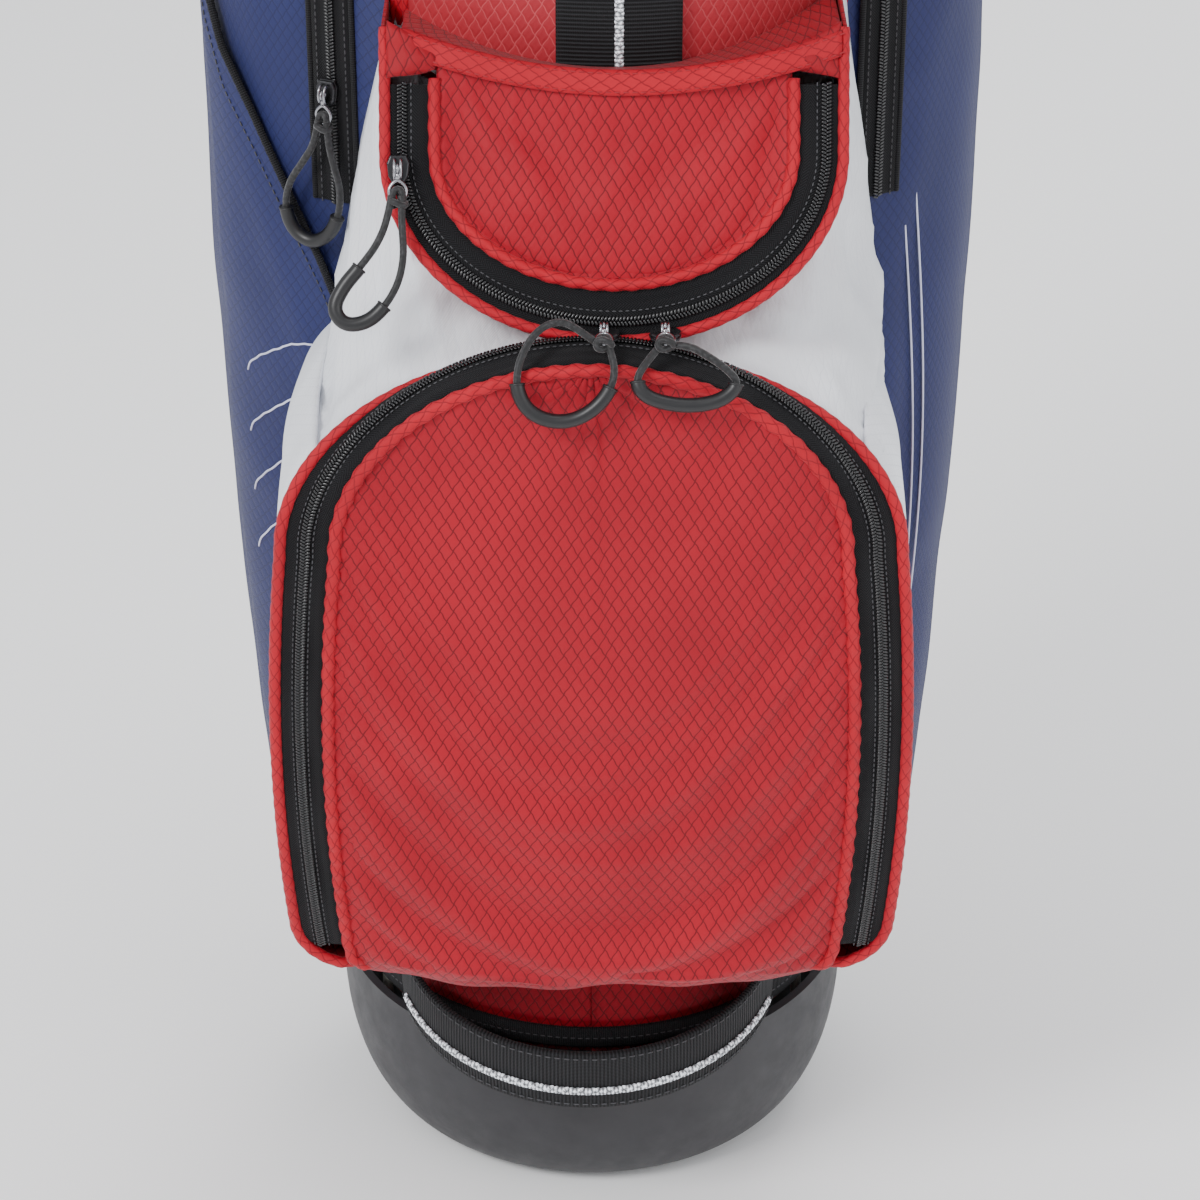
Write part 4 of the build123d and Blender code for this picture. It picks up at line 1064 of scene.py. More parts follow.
def upper_line(inset, count=UPPER_COUNT, top=UPPER_TOP_Z):
    """The pocket's U at an inset: down the left side, round the bottom, up the right."""
    half = UPPER_HALF - inset
    turn = np.linspace(math.pi, 2 * math.pi, 200)
    deep = UPPER_TURN_Z - UPPER_BOTTOM_Z - inset
    bottom = np.stack([UPPER_X + half * np.cos(turn), UPPER_TURN_Z + deep * np.sin(turn)], -1)
    left = np.stack([np.full(40, UPPER_X - half), np.linspace(top, UPPER_TURN_Z + 1, 40)], -1)
    line = np.concatenate([left, bottom, (left * (-1, 1) + (2 * UPPER_X, 0))[::-1]])
    line = spaced(line, count)
    return np.stack([line[:, 0], upper_y(line[:, 1]), line[:, 1]], axis=-1)


def hem_z(x):
    """Top hem of the accessory pocket, hanging a little in its middle."""
    return HEM_MIDDLE_Z + HEM_RISE * ((x - UPPER_X - 4) / 86.0) ** 2


def upper_at(inset, lift=0.0, top=566.0):
    """The U at an inset, lifted off the pocket's front."""
    return upper_line(inset, top=top) + UPPER_N * lift


def upper_zip():
    """Zip band, teeth, stitching and both pipings of the accessory pocket."""
    normal = np.broadcast_to(UPPER_N, (UPPER_COUNT, 3))
    band("upper_zip_tape_outer", upper_at(2.0), upper_at(6.0), normal, 0.9, zip_cloth, "bag", "zip", cols=5)
    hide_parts("upper_zip_tape")
    band("upper_zip_tape_inner", upper_at(7.6), upper_at(UPPER_PIPE_IN - 0.5), normal, 0.9, zip_cloth,
         "upper_flap", "zip", cols=9, wave=0.5)
    coil = coil_teeth("upper_zip_coil", upper_at(6.8, 1.3), normal, "bag", width=4.0)
    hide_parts("upper_zip_teeth")
    stitches("upper_zip_stitch", upper_at(10.4, 1.1), normal, "upper_flap", thread_grey, 1.6, 1.0, "zip")
    outer = upper_at(0.0, 0.8, UPPER_EDGE_TOP)
    tube("upper_piping_outer", resample(outer, 1.5), 2.3, piping_cloth, "bag", "red_ripstop", sides=12,
         gather=0.05)
    inner = upper_at(UPPER_PIPE_IN + 0.6, 1.6, 568.0)
    tube("upper_piping_inner", resample(inner, 1.5), 2.5, piping_cloth, "upper_flap", "red_ripstop", sides=12,
         gather=0.10,
         pitch=8.0)


def upper_panel():
    """The red front: crowned, with creases running down from its top corners."""
    edge = upper_line(UPPER_PIPE_IN + 2.0, 161, 570.0)
    left = edge[: len(edge) // 2 + 1][::-1]
    u = np.linspace(-1, 1, 85)
    u = np.sign(u) * (1 - (1 - np.abs(u)) ** 1.15)
    half = UPPER_X - left[:, 0:1]
    x = UPPER_X + half * u[None, :]
    z = np.broadcast_to(left[:, 2:3], x.shape).copy()
    high = np.clip((z - UPPER_TURN_Z) / 28.0, 0, 1) ** 1.3
    z = z + high * (hem_z(x) - 570.0)
    dome = (1 - u[None, :] ** 2) ** 0.6 * np.clip((z - 494) / 26, 0, 1) ** 0.5
    puff = (5.5 + 1.0 * ruffle(x, z, 15, 2.2)) * dome
    puff = with_folds(puff, x, z, (
        ((66, 578), (22, 528), 6, -2.2), ((74, 566), (44, 524), 4.5, 1.8), ((-44, 570), (-6, 528), 5.5, -1.9),
        ((-50, 560), (-24, 520), 4.5, 1.6), ((30, 560), (2, 520), 5, 1.1), ((56, 540), (36, 506), 5, -1.3),
        ((-30, 545), (-8, 505), 5, 1.2), ((10, 566), (14, 540), 5, -0.9), ((70, 550), (62, 515), 4, -1.4),
    ), np.clip(dome * 2, 0, 1))
    points = np.stack([x, upper_y(z), z], axis=-1) + UPPER_N * puff[..., None]
    uv = np.stack([x, z / math.cos(UPPER_SLANT)], axis=-1)
    panel = sheet_grid("upper_front_panel", points, red_cloth, None, "red_ripstop", uv=uv, solid=1.3,
                       offset=1.0)
    pinned = sewn_edges(*points.shape[:2], 3, 3)
    simulate(panel, pinned, slack=0.012, gravity=0.8, cap=4.0)
    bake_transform(panel)
    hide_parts("upper_flap")


def upper_hem():
    """The stitched top hem and the cloth from it back to the tube."""
    hem_x = np.linspace(*HEM_X, 80)
    side_lift = 2.0 + 4.5 * np.clip(1 - ((hem_x - UPPER_X) / 70) ** 2, 0, 1) ** 0.6
    top = np.stack([hem_x, upper_y(hem_z(hem_x)), hem_z(hem_x)], axis=-1) + UPPER_N * side_lift[:, None]
    low = top + UPPER_DOWN * 10.0
    hem_n = np.broadcast_to(UPPER_N, top.shape)
    band("upper_hem", low, top, hem_n, 1.5, piping_cloth, "bag", "red_ripstop", cols=7, crown=0.5)
    for share, tag in ((0.12, "low"), (0.85, "high")):
        row = low + (top - low) * share + UPPER_N * 1.85
        stitches("upper_hem_stitch_" + tag, row, hem_n, "bag", thread_red, 2.2, 1.2)
    back = np.stack([hem_x, front_y(hem_x, hem_z(hem_x)) + 1.0, hem_z(hem_x) - 3.0], axis=-1)
    d = np.linspace(0, 1, 9)[:, None, None]
    cover = (1 - d) * (top + UPPER_N * 1.2)[None] + d * back[None]
    sheet_grid("upper_top_cover", cover, gusset_cloth, "bag", "red_ripstop", solid=1.2)


def upper_walls():
    """The accessory pocket's sides and the two wedges at its top corners."""
    wall = upper_at(0.0, 0.0, UPPER_EDGE_TOP)
    back_y = front_y(wall[:, 0], wall[:, 2]) + 3.0
    d = np.linspace(0, 1, 14)[:, None]
    walls = np.repeat(wall[None], 14, axis=0)
    walls[..., 1] = wall[None, :, 1] + (back_y - wall[:, 1])[None, :] * d
    shell = sheet_grid("upper_side_walls", walls, gusset_cloth, "bag", "red_ripstop", solid=1.4)
    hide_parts("upper_pocket_shell")
    for side, x_out, x_in in ((-1, -80.0, -61.0), (1, 98.0, 79.0)):
        hand = "left" if side < 0 else "right"
        t = np.linspace(0, 1, 9)[:, None, None]
        s = np.linspace(0, 1, 13)[None, :, None]
        top_edge = np.array([x_out, 0, 588.0]) * (1 - s) + np.array([x_in, 0, 578.0]) * s
        low_edge = np.array([x_out, 0, 568.0]) * (1 - s) + np.array([x_in, 0, 571.0]) * s
        wedge = top_edge * (1 - t) + low_edge * t
        wedge[..., 1] = upper_y(wedge[..., 2])
        bulge = 2.2 + 1.8 * np.sin(math.pi * s) * np.sin(math.pi * t) + 0.7 * np.sin(7 * t + 5 * s)
        sheet_grid("upper_wedge_" + hand, wedge + UPPER_N * bulge, gusset_cloth, "bag", "red_ripstop",
                   solid=1.3)


upper_zip()
upper_panel()
upper_hem()
upper_walls()


# ---- tube: red body, front panel in a lighter red with painted light and sheen, side strips, spine webbing ----
BODY_Z = (84, 803)
PANEL_X, PANEL_Z = (-74, 99), (556, 795)
STRIP_AT = ((-76.0, "left"), (100.5, "right"))
STRIP_Z = (560, 796)
STRIP_HALF = 3.4
SPINE_Z, SPINE_HALF = (566, 788), 25
TUBE_R_MEAN = 110.584           # radius that the cloth coordinates are unrolled at


def tube_grid(x0, x1, z0, z1, gap, cols, rows, wave=0.0, seed=0.0):
    """Part of the tube's front between two x and two z, standing off by a gap."""
    x = np.linspace(x0, x1, cols)[None, :]
    z = np.linspace(z0, z1, rows)[:, None]
    x, z = np.broadcast_arrays(x, z)
    off = gap + wave * ruffle(x, z, 24, seed)
    y = -np.sqrt(np.maximum((tube_r(z) + off) ** 2 - x**2, 0))
    return np.stack([x, y, z], axis=-1)


def body():
    """The red tube, its front panel in a lighter red with painted light and sheen, the side strips and the spine
    webbing.
    """
    turn = np.linspace(0, 2 * math.pi, 145)
    z = np.linspace(*BODY_Z, 150)[:, None]
    r = tube_r(z) - 0.4 + 0.35 * ruffle(turn[None, :] * 111, z, 30, 3.0) - 0.5
    points = np.stack([r * np.sin(turn)[None, :], -r * np.cos(turn)[None, :], np.broadcast_to(z, r.shape)],
                      axis=-1)
    uv = np.stack([np.broadcast_to(turn[None, :] * TUBE_R_MEAN, r.shape), np.broadcast_to(z, r.shape)],
                  axis=-1)
    shell = sheet_grid("body_cloth", points, red_cloth, "bag", "red_ripstop", uv=uv, solid=2.0)
    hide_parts("body_shell")
    front = tube_grid(*PANEL_X, *PANEL_Z, 0.6, 70, 90, 0.5, 1.3)
    uv = np.stack([np.arcsin(front[..., 0] / TUBE_R_TOP) * TUBE_R_TOP, front[..., 2]], axis=-1)
    # This panel's lighter red is painted light and sheen.
    sheet_grid("front_upper_panel", front, red_painted_light_cloth, "bag", "red_ripstop", uv=uv, solid=0.8, offset=1.0)
    for x, hand in STRIP_AT:
        z = np.linspace(*STRIP_Z, 120)
        line = np.stack([np.full_like(z, x), front_y(np.full_like(z, x), z) - 0.6, z], axis=-1)
        n = unit(np.stack([line[:, 0], line[:, 1], 0 * z], axis=-1))
        t = np.cross(n, (0, 0, 1))
        band("side_strip_" + hand, line - t * STRIP_HALF, line + t * STRIP_HALF, n, 1.2, piping_cloth, "bag",
             "red_ripstop", cols=7, crown=0.5)
        for off, tag in ((-3.6, "a"), (3.6, "b")):
            tube("strip_piping_%s_%s" % (hand, tag), resample(line + t * off + n * 0.8, 2.0), 1.5,
                 piping_cloth, "bag",
                 "red_ripstop", sides=8, gather=0.04)
    z = np.linspace(*SPINE_Z, 120)
    n = np.broadcast_to(np.array([0.0, -1.0, 0.0]), (120, 3))
    y = -tube_r(z) - 1.2
    left = np.stack([np.full_like(z, SPINE_X - SPINE_HALF), y + 2.2, z], axis=-1)
    right = np.stack([np.full_like(z, SPINE_X + SPINE_HALF), y + 3.6, z], axis=-1)
    web = band("spine_web", left, right, n, 2.0, black_web, "bag", "black_webbing", cols=15, crown=2.6)
    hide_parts("spine_webbing")
    middle = (left + right) / 2 + n * 4.4
    braid_stripe("spine_stripe", middle, n, "bag", 2.2)


def braid_stripe(name, path, normal, body_name, half):
    """A raised plait: three strands crossing again and again along a path."""
    places, _, across, up = along_path(path, np.asarray(normal, dtype=float), 0.7)
    s = lengths(places)[:, None]
    for phase, tag in ((0.0, "a"), (math.pi * 2 / 3, "b"), (math.pi * 4 / 3, "c")):
        w = 2 * math.pi * s / 7.0 + phase
        line = places + across * half * 0.55 * np.sin(w) + up * (0.35 + 0.35 * np.cos(2 * w))
        tube(name + "_" + tag, line, half * 0.36, stripe_braid, body_name, "black_webbing", sides=7)


body()


# ---- navy side pockets ----
SIDE_Z0, SIDE_Z1 = 135, 785
SIDE_ZIPS = ((-1, -106.0), (1, 119.0))
SIDE_ZIP_Z = (488, 762)
TAPE_HALF = 9.0


def side_pocket(side):
    """One navy pocket, wrapped round its lobe and tucked behind the tube's front."""
    hand = "left" if side < 0 else "right"
    z = np.concatenate([np.linspace(135, 150, 6), np.linspace(156, 770, 150), np.linspace(775, 785, 5)])[:,
                                                                                                         None]
    turn = np.linspace(0, math.pi, 121)[None, :]
    half = lobe_half(z)
    x = half * np.sin(turn)
    y_front = -SIDE_HALF_Y * np.cos(turn) + SIDE_Y
    x, y_front = np.broadcast_arrays(x, y_front)
    z_all = np.broadcast_to(z, x.shape)
    y = y_front.copy()
    keep = turn < math.pi / 2
    shown = np.clip((x - (62 if side < 0 else 87)) / 12.0, 0, 1)
    y = np.where(keep, front_y(x, z_all) * shown + y * (1 - shown), y)
    squeeze = np.clip(np.minimum(z_all - SIDE_Z0, SIDE_Z1 - z_all) / 14.0, 0, 1) ** 0.5
    fold_depth = with_folds(np.zeros_like(x), x, z_all, (
        ((118, 180), (130, 420), 9, 1.6), ((142, 250), (138, 470), 8, -1.4), ((128, 430), (146, 620), 9, 1.3),
        ((112, 560), (116, 760), 8, -1.2), ((150, 560), (148, 740), 8, 1.0),
        ((140, 170), (152, 300), 7, -1.2),
        ((100, 470), (130, 540), 7, 1.1), ((124, 660), (144, 690), 7, -1.0),
    ))
    fold_depth = fold_depth + 0.7 * ruffle(x * side + 40, z_all, 17, 1.1 + side) * np.clip((x - 95) / 20, 0,
                                                                                           1)
    out = unit(np.stack([x / half**2, (y - SIDE_Y) / SIDE_HALF_Y**2, 0 * x], axis=-1))
    points = np.stack([x, y, z_all], axis=-1) + out * (fold_depth + 0.4)[..., None]
    centre = np.array([60.0, SIDE_Y, 0.0])
    flat = points[..., :2] - centre[:2]
    shrink = 0.80 + 0.20 * squeeze
    points[..., :2] = centre[:2] + flat * shrink[..., None]
    inside = np.hypot(points[..., 0], points[..., 1])
    near = tube_r(z_all) - 2.7
    push = np.maximum(near / np.maximum(inside, 1e-6), 1.0)
    points[..., 0] *= push
    points[..., 1] *= push
    points[..., 0] *= side
    uv = np.stack([np.broadcast_to(turn * 118, x.shape), z_all], axis=-1)
    shell = sheet_grid("side_pocket_cloth_" + hand, points, navy_cloth, "bag", "navy_fabric", uv=uv,
                       solid=1.2,
                       offset=0.0)
    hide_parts("side_pocket_" + hand)


for side in (-1, 1):
    side_pocket(side)


def on_side(x, z, lift=0.0):
    """Places just in front of the navy pocket at an x and z, with the outward direction."""
    x, z = np.asarray(x, dtype=float), np.asarray(z, dtype=float)
    y = front_y(x, z, lift)
    step = 0.5
    slope = (front_y(x + step, z) - front_y(x - step, z)) / (2 * step)
    n = unit(np.stack([slope, -np.ones_like(slope), np.zeros_like(slope)], axis=-1))
    return np.stack([x, y, z], axis=-1) + n * 0.6, n


def side_trim():
    """Tape, teeth, stitching and edges of the two side zips."""
    for side, x_zip in SIDE_ZIPS:
        hand = "left" if side < 0 else "right"
        z = np.linspace(*SIDE_ZIP_Z, 150)
        middle, n = on_side(np.full_like(z, x_zip), z, 1.2)
        across = unit(np.cross(n, (0, 0, 1)))
        band("side_tape_" + hand, middle - across * TAPE_HALF, middle + across * TAPE_HALF, n, 1.0, zip_cloth,
             "bag", "zip", cols=9)
        coil = coil_teeth("side_coil_" + hand, middle + n * 1.3, n, "bag")
        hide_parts("side_zip_" + hand)
        for off in (-6.6, 6.6):
            stitches("side_stitch_%s_%s" % (hand, "a" if off < 0 else "b"), middle + across * off + n * 1.1,
                     n, "bag",
                     thread_grey, 1.8, 1.1, "zip")
        for off, tag in ((-TAPE_HALF - 1, "a"), (TAPE_HALF + 1, "b")):
            edge = resample(middle + across * off + n * 0.6, 2.0)
            tube("side_zip_piping_%s_%s" % (hand, tag), edge, 1.3, black_binding, "bag", "zip", sides=8)


def pinstripes():
    """Generic pale lines: two long curves on the right pocket."""
    for k, shift in enumerate((0.0, 7.0)):
        z = np.linspace(190, 470, 120)
        x = 133 + 9 * np.sin((z - 190) / 280 * math.pi) + shift * 0.6
        line, _ = on_side(x, z + shift * 2, 1.0)
        tube("stripe_right_%d" % k, line, 0.5, print_pale, "bag", "navy_fabric", sides=6)


side_trim()
pinstripes()


# ---- outer pouch of the left pocket ----
def pouch():
    """Outer pouch of the left pocket, open along a slanting elastic edge."""
    edge = ((-159.5, 604), (-158, 575), (-151, 545), (-139, 521), (-124, 487), (-113, 462), (-105, 440))
    edge = smooth_path(np.array(edge, dtype=float), 1.0, rounds=2)
    edge = spaced(edge, 61)
    low_z = np.full(61, 200.0)
    d = np.linspace(0, 1, 80)[:, None]
    z = edge[None, :, 1] * (1 - d) + low_z[None, :] * d
    x = -np.minimum(-edge[None, :, 0], lobe_half(z) - 3.0)
    lift = 3.6 * np.exp(-((d / 0.35) ** 2)) + 0.5 + 1.1 * ruffle(x, z, 16, 2.0) * d * (1 - d) * 3
    lift = lift + 1.6 * np.exp(-(((x + 0.28 * z + 3) / 7.0) ** 2)) * d * (1 - d) * 3
    at, n = on_side(x, z)
    points = at + n * lift[..., None]
    uv = np.stack([x, z], axis=-1)
    sheet_grid("left_outer_pouch", points, navy_cloth, "bag", "navy_fabric", uv=uv, solid=1.2, offset=0.0)
    rim = points[0] + n[0] * 0.4
    tube("pouch_edge", resample(rim, 1.5), 1.7, black_binding, "bag", "black_webbing", sides=10, gather=0.06,
         pitch=4.0)
    stitches("pouch_edge_stitch", points[4] + n[4] * 0.9, n[4], "bag", thread_grey, 2.2, 1.3, "navy_fabric")
    for k in range(4):
        row = np.linspace(12 + 7 * k, 34 + 7 * k, 60).astype(int)
        col = np.linspace(54, 22, 60).astype(int)
        line = smooth_path(points[row, col] + n[row, col] * 0.75, 2.0)
        tube("stripe_left_%d" % k, line, 0.5, print_pale, "bag", "navy_fabric", sides=6)


pouch()


# ---- padded straps and the carry handle ----
GRIP_ARC = ((-119.2, 652), (-159.2, 694), (-119.2, 736))
STRAP_ARC = ((-124, 784), (-168, 716), (-124, 648))
STRAP_X, STRAP_W = 56, 48
ANCHOR_HALF = 15
RIM = 48                        # points round a pad's section


def arc_points(start, middle, end, count):
    """Points on the circular arc through three (y, z) places, with the outward direction."""
    (ax, az), (bx, bz), (cx, cz) = start, middle, end
    d = 2 * (ax * (bz - cz) + bx * (cz - az) + cx * (az - bz))
    ux = ((ax**2 + az**2) * (bz - cz) + (bx**2 + bz**2) * (cz - az) + (cx**2 + cz**2) * (az - bz)) / d
    uz = ((ax**2 + az**2) * (cx - bx) + (bx**2 + bz**2) * (ax - cx) + (cx**2 + cz**2) * (bx - ax)) / d
    first, mid, last = (math.atan2(z - uz, y - ux) for y, z in (start, middle, end))
    first, last = (a - 2 * math.pi * round((a - mid) / (2 * math.pi)) for a in (first, last))
    turn = np.linspace(first, last, count)
    out = np.stack([np.cos(turn), np.sin(turn)], axis=-1)
    size = math.hypot(ax - ux, az - uz)
    return np.array([ux, uz]) + out * size, out


def padded_strap(name, x_mid, width, start, middle, end, thick, node):
    """A quilted strap: cushioned face, stitched edges, piping on both sides."""
    path, out = arc_points(start, middle, end, 90)
    count = len(path)
    s = lengths(path)
    ends = np.clip(np.minimum(s, s[-1] - s) / 14.0, 0.0, 1.0) ** 0.5
    across = np.linspace(0, 2 * math.pi, RIM, endpoint=False)
    ca, sa = np.cos(across), np.sin(across)
    wide = np.sign(ca) * np.abs(ca) ** 0.45 * width / 2
    high = np.sign(sa) * np.abs(sa) ** 0.75 * thick / 2
    quilt = 0.35 * np.cos(2 * math.pi * s / 26.0)
    lift = (0.55 + 0.45 * ends)[:, None] * (high[None, :] * (1 + 0.12 * quilt[:, None]))
    x = x_mid + wide[None, :] * (0.93 + 0.07 * ends[:, None]) + 0 * lift
    mid = path - out * thick / 2
    y = mid[:, 0:1] + out[:, 0:1] * lift
    z = mid[:, 1:2] + out[:, 1:2] * lift
    points = np.stack([x, y, z], axis=-1)
    faces = grid_faces(count, RIM, wrap=True)
    faces.append(list(range(RIM))[::-1])
    faces.append([(count - 1) * RIM + c for c in range(RIM)])
    uv = np.stack([np.broadcast_to(wide[None, :], x.shape), np.broadcast_to(s[:, None], x.shape)], axis=-1)
    pad = make_piece(name, points, faces, pad_knit, "bag", "black_padding", uv=uv)
    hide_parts(node)
    for side, tag in ((-1, "a"), (1, "b")):
        edge = np.stack([np.full(count, x_mid + side * (width / 2 - 0.8)), mid[:, 0], mid[:, 1]], axis=-1)
        tube("%s_piping_%s" % (name, tag), resample(edge[4:-4], 1.5), 1.6, black_binding, "bag",
             "black_padding", sides=8)
        row = np.stack([np.full(count, x_mid + side * (width / 2 - 6)), mid[:, 0], mid[:, 1]], axis=-1)
        lift_row = np.stack([np.zeros(count), out[:, 0], out[:, 1]], axis=-1)
        stitches("%s_stitch_%s" % (name, tag), row[6:-6] + lift_row[6:-6] * (thick / 2 * 0.97),
                 lift_row[6:-6], "bag",
                 thread_grey, 2.6, 1.8, "black_padding")


padded_strap("carry_handle_pad", SPINE_X, 32, *GRIP_ARC, 7, "carry_handle")
for side, hand in ((-1, "left"), (1, "right")):
    padded_strap("strap_pad_" + hand, SPINE_X + side * STRAP_X, STRAP_W, *STRAP_ARC, 11,
                 "shoulder_strap_" + hand)
    for z_mid, tag in ((645.0, "low"), (782.0, "high")):
        x_mid = SPINE_X + side * STRAP_X
        x = np.linspace(x_mid - ANCHOR_HALF, x_mid + ANCHOR_HALF, 13)
        front = front_y(x, np.full(13, z_mid)) + 1.0
        d = np.linspace(0, 1, 9)[:, None]
        reach = front[None, :] * (1 - d) + (-122.0) * d
        grid = np.stack([np.broadcast_to(x[None, :], reach.shape), reach,
                         np.broadcast_to(z_mid + 0 * d, reach.shape)], axis=-1)
        piece = sheet_grid("anchor_web_%s_%s" % (hand, tag), grid, black_web, "bag", "black_webbing",
                           solid=4.0, offset=0.0)
        if side < 0 and tag == "low":
            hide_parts("strap_anchors")


# ---- base handle, its tabs and the base binding ----
HANDLE_PLAN = ((-88.0, -83.0), (0.0, -152.0), (84.0, -85.0))
HANDLE_AXIS_Y, HANDLE_AXIS_Z = -81.0, 109.0
HANDLE_DROOP = math.radians(10.0)
HANDLE_HALF = 17
TAB_Z = (113.4, 168.0)
TAB_R = 112


def base_sling():
    """The swinging handle: webbing round an arc, drooping a little, with a braided stripe."""
    arc, out = arc_points(*HANDLE_PLAN, 91)
    count = len(arc)
    up = np.linspace(-HANDLE_HALF, HANDLE_HALF, 15)
    crown = 0.6 * np.sin(np.linspace(0, math.pi, 15))
    rows = []
    for a, o in zip(arc, out):
        off = crown - 1.5
        rows.append(np.stack([a[0] + o[0] * off, a[1] + o[1] * off, HANDLE_AXIS_Z + up], axis=-1))
    grid = np.stack(rows, axis=0)
    c, s = math.cos(HANDLE_DROOP), math.sin(HANDLE_DROOP)
    dy, dz = grid[..., 1] - HANDLE_AXIS_Y, grid[..., 2] - HANDLE_AXIS_Z
    grid[..., 1] = HANDLE_AXIS_Y + dy * c - dz * s
    grid[..., 2] = HANDLE_AXIS_Z + dy * s + dz * c
    uv = np.stack([np.broadcast_to(up[None, :], grid.shape[:2]),
                   np.broadcast_to(lengths(grid[:, 7])[:, None], grid.shape[:2])], axis=-1)
    sling = make_piece("base_handle_web", grid, grid_faces(count, 15), black_web, "base_handle",
                       "black_webbing",
                       uv=uv, solid=2.6, offset=0.0)
    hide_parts("base_handle")
    outward = np.concatenate([out * 1.0, np.zeros((count, 1))], axis=1)
    outward[:, 1], outward[:, 2] = outward[:, 1] * c, outward[:, 1] * s
    low = grid[:, 5] + outward * 2.1
    braid_stripe("base_handle_stripe", low[4:-4], outward[4:-4], "base_handle", 2.4)
    for k, tag in ((1, "low"), (13, "high")):
        stitches("base_handle_stitch_" + tag, grid[:, k] + outward * 1.6, outward, "base_handle", thread_grey,
                 2.6, 1.6,
                 "black_webbing")


def handle_tabs():
    """Webbing tabs on the tube that hold the handle's ends."""
    for x, y in (HANDLE_PLAN[0], HANDLE_PLAN[2]):
        turn = math.atan2(x, -y)
        hand = "left" if x < 0 else "right"
        t = np.linspace(-HANDLE_HALF / TAB_R, HANDLE_HALF / TAB_R, 15)[None, :]
        z = np.linspace(*TAB_Z, 26)[:, None]
        r = tube_r(z) + 1.0
        angle = t + turn
        piece = np.stack([np.broadcast_to(r * np.sin(angle), (26, 15)), -r * np.cos(angle) + 0 * z,
                          np.broadcast_to(z, (26, 15))], axis=-1)
        uv = np.stack([np.broadcast_to(t * TAB_R, (26, 15)), np.broadcast_to(z, (26, 15))], axis=-1)
        tab = sheet_grid("handle_tab_" + hand, piece, black_web, "bag", "black_webbing", uv=uv, solid=2.2,
                         offset=1.0)
        for off, tag in ((-13, "a"), (13, "b")):
            angle = turn + off / TAB_R
            far = r[:, 0] + 3.4
            line = np.stack([far * np.sin(angle), -far * np.cos(angle), z[:, 0]], axis=-1)
            n = unit(np.stack([line[:, 0], line[:, 1], 0 * line[:, 2]], axis=-1))
            stitches("tab_stitch_%s_%s" % (hand, tag), line, n, "bag", thread_grey, 2.0, 1.4, "black_webbing")
    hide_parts("handle_tabs")


BINDING_Z = (88.2, 98.8)
ROD_SLOT_HALF = 9.5
SHORT_PIPING_X, SHORT_PIPING_Z = (70, 96), 114.0


def binding_ring():
    """Bound lower edge of the tube, open where the push rod passes, and a short red piping above it."""
    gap = math.asin(ROD_SLOT_HALF / TAB_R)
    turn = np.linspace(math.pi + gap, 3 * math.pi - gap, 220)
    r = tube_r(np.array(93.0)) + 0.8
    ring_line = np.stack([np.sin(turn), -np.cos(turn)], axis=-1)
    low, high = (np.concatenate([ring_line * r, np.full((220, 1), z)], axis=1) for z in BINDING_Z)
    n = np.concatenate([ring_line, np.zeros((220, 1))], axis=1)
    tape = band("base_binding_tape", low, high, n, 1.3, black_binding, "bag", "red_ripstop", cols=9,
                crown=0.5)
    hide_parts("base_binding")
    stitches("base_binding_tape_stitch", (low + high) / 2 + n * 1.9, n, "bag", thread_grey, 2.2, 1.3)
    x = np.linspace(*SHORT_PIPING_X, 40)
    z = np.full(40, SHORT_PIPING_Z)
    bottom = np.stack([x, -np.sqrt((tube_r(z) + 1.2) ** 2 - x**2), z], axis=-1)
    tube("base_piping_short", resample(bottom, 1.2), 2.0, piping_cloth, "bag", "red_ripstop", sides=9,
         gather=0.06)


base_sling()
handle_tabs()
binding_ring()


# ---- divider cloth inside ----
DIVIDER_HALF = 101.0
DIVIDER_Z = (62.0, 790.0)


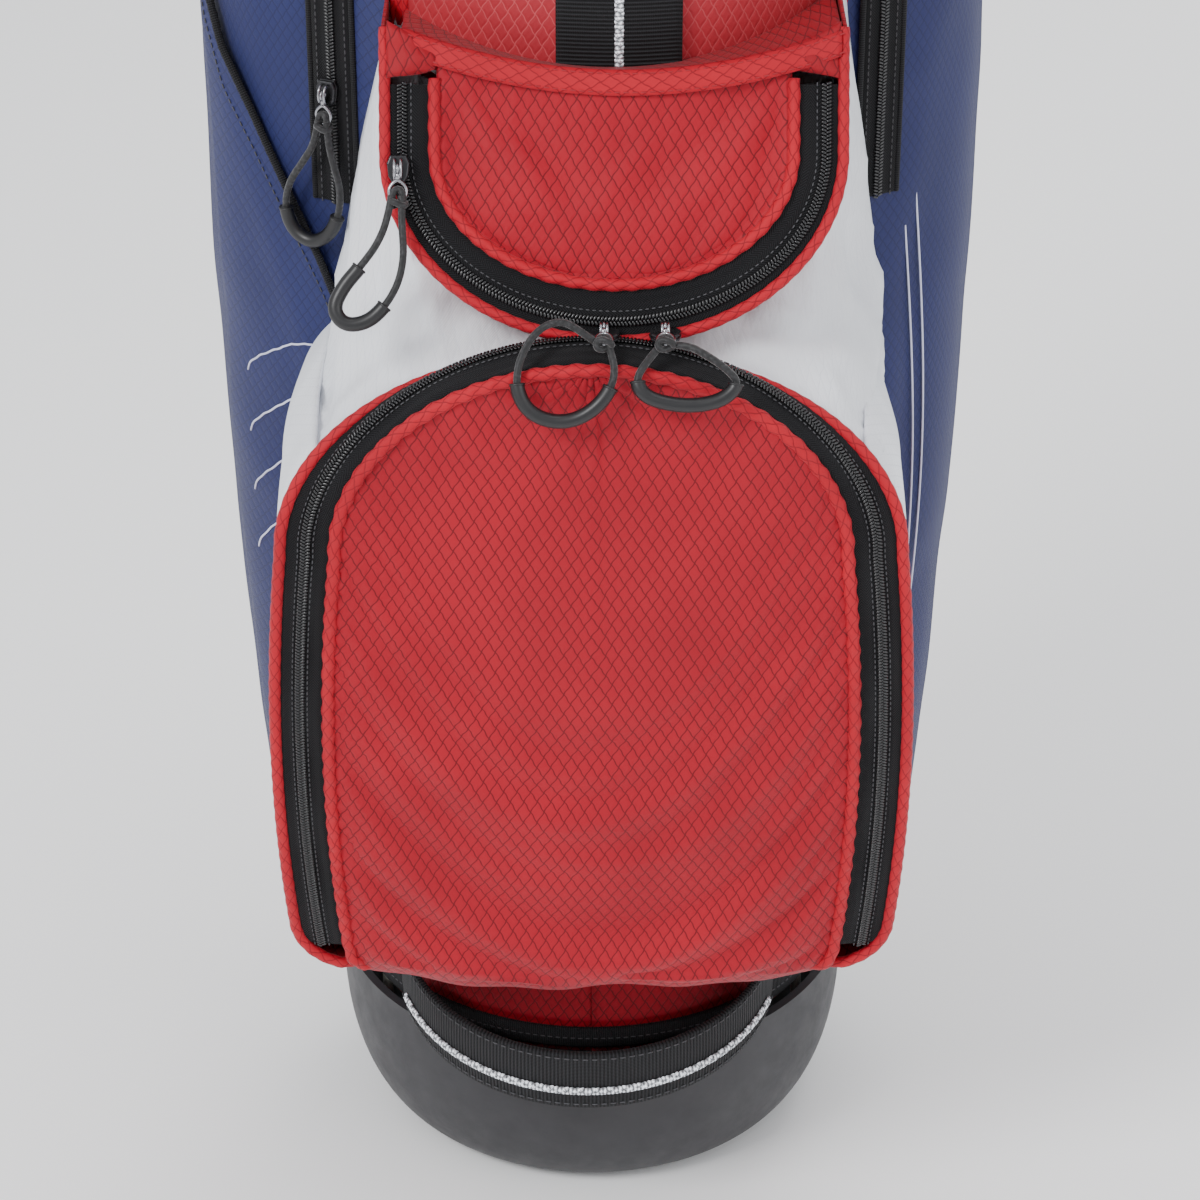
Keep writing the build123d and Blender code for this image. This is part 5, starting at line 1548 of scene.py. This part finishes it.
def dividers():
    """Two crossing sheets of lining cloth, slack below and taut at the bars."""
    for axis in ("x", "y"):
        across = np.linspace(-DIVIDER_HALF, DIVIDER_HALF, 45)[None, :]
        z = np.linspace(*DIVIDER_Z, 90)[:, None]
        wave = 0.9 * np.sin(across / 17.0 + z / 60.0)
        wave = wave * np.clip((DIVIDER_HALF - np.abs(across)) / 20, 0, 1)
        wave = wave * np.clip((DIVIDER_Z[1] - z) / 60.0, 0, 1)
        a = np.broadcast_to(across, wave.shape)
        zz = np.broadcast_to(z, wave.shape)
        points = np.stack([a, wave, zz] if axis == "x" else [wave, a, zz], axis=-1)
        piece = sheet_grid("divider_cloth_" + axis, points, lining_cloth, "bag", "black_padding", solid=0.0)
        if axis == "x":
            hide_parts("divider_fabric")


dividers()


# ---- floor, light and world ----
WORLD_TINT, WORLD_STRENGTH = (0.96, 0.97, 1.0, 1), 1.0
LAMPS = (                       # name, place, aim, size in metres, power in watts
    ("key", (-1.5, -1.7, 2.2), (0, 0, 0.4), 1.0, 60.0),
    ("fill", (1.8, -1.5, 1.3), (0, 0, 0.45), 1.8, 17.0),
    ("top", (0.3, 0.3, 2.6), (0, 0, 0.5), 1.5, 17.0),
    ("back", (0.9, 1.9, 1.5), (0, 0, 0.5), 1.2, 12.0),
)


def floor_and_world():
    """Plain pale floor and an even, near-white surround."""
    plane = bpy.data.meshes.new("floor")
    plane.from_pydata([(-9, -6, 0), (9, -6, 0), (9, 9, 0), (-9, 9, 0)], [], [(0, 1, 2, 3)])
    pale = Shader("floor_pale", (0.95, 0.95, 0.95), 0.8, Specular_IOR_Level=0.1)
    plane.materials.append(pale.mat)
    ground = bpy.data.objects.new("floor", plane)
    collection.objects.link(ground)
    world = bpy.context.scene.world or bpy.data.worlds.new("studio")
    bpy.context.scene.world = world
    world.use_nodes = True
    background = world.node_tree.nodes["Background"].inputs
    background["Color"].default_value = WORLD_TINT
    background["Strength"].default_value = WORLD_STRENGTH


def lamps():
    """Soft area lights round the bag."""
    for name, at, aim, size, power in LAMPS:
        lamp = bpy.data.lights.new(name, "AREA")
        lamp.shape = "DISK"
        lamp.size = size
        lamp.energy = power
        light = bpy.data.objects.new(name, lamp)
        collection.objects.link(light)
        light.location = at
        way = Vector(aim) - Vector(at)
        light.rotation_euler = way.to_track_quat("-Z", "Y").to_euler()


floor_and_world()
lamps()
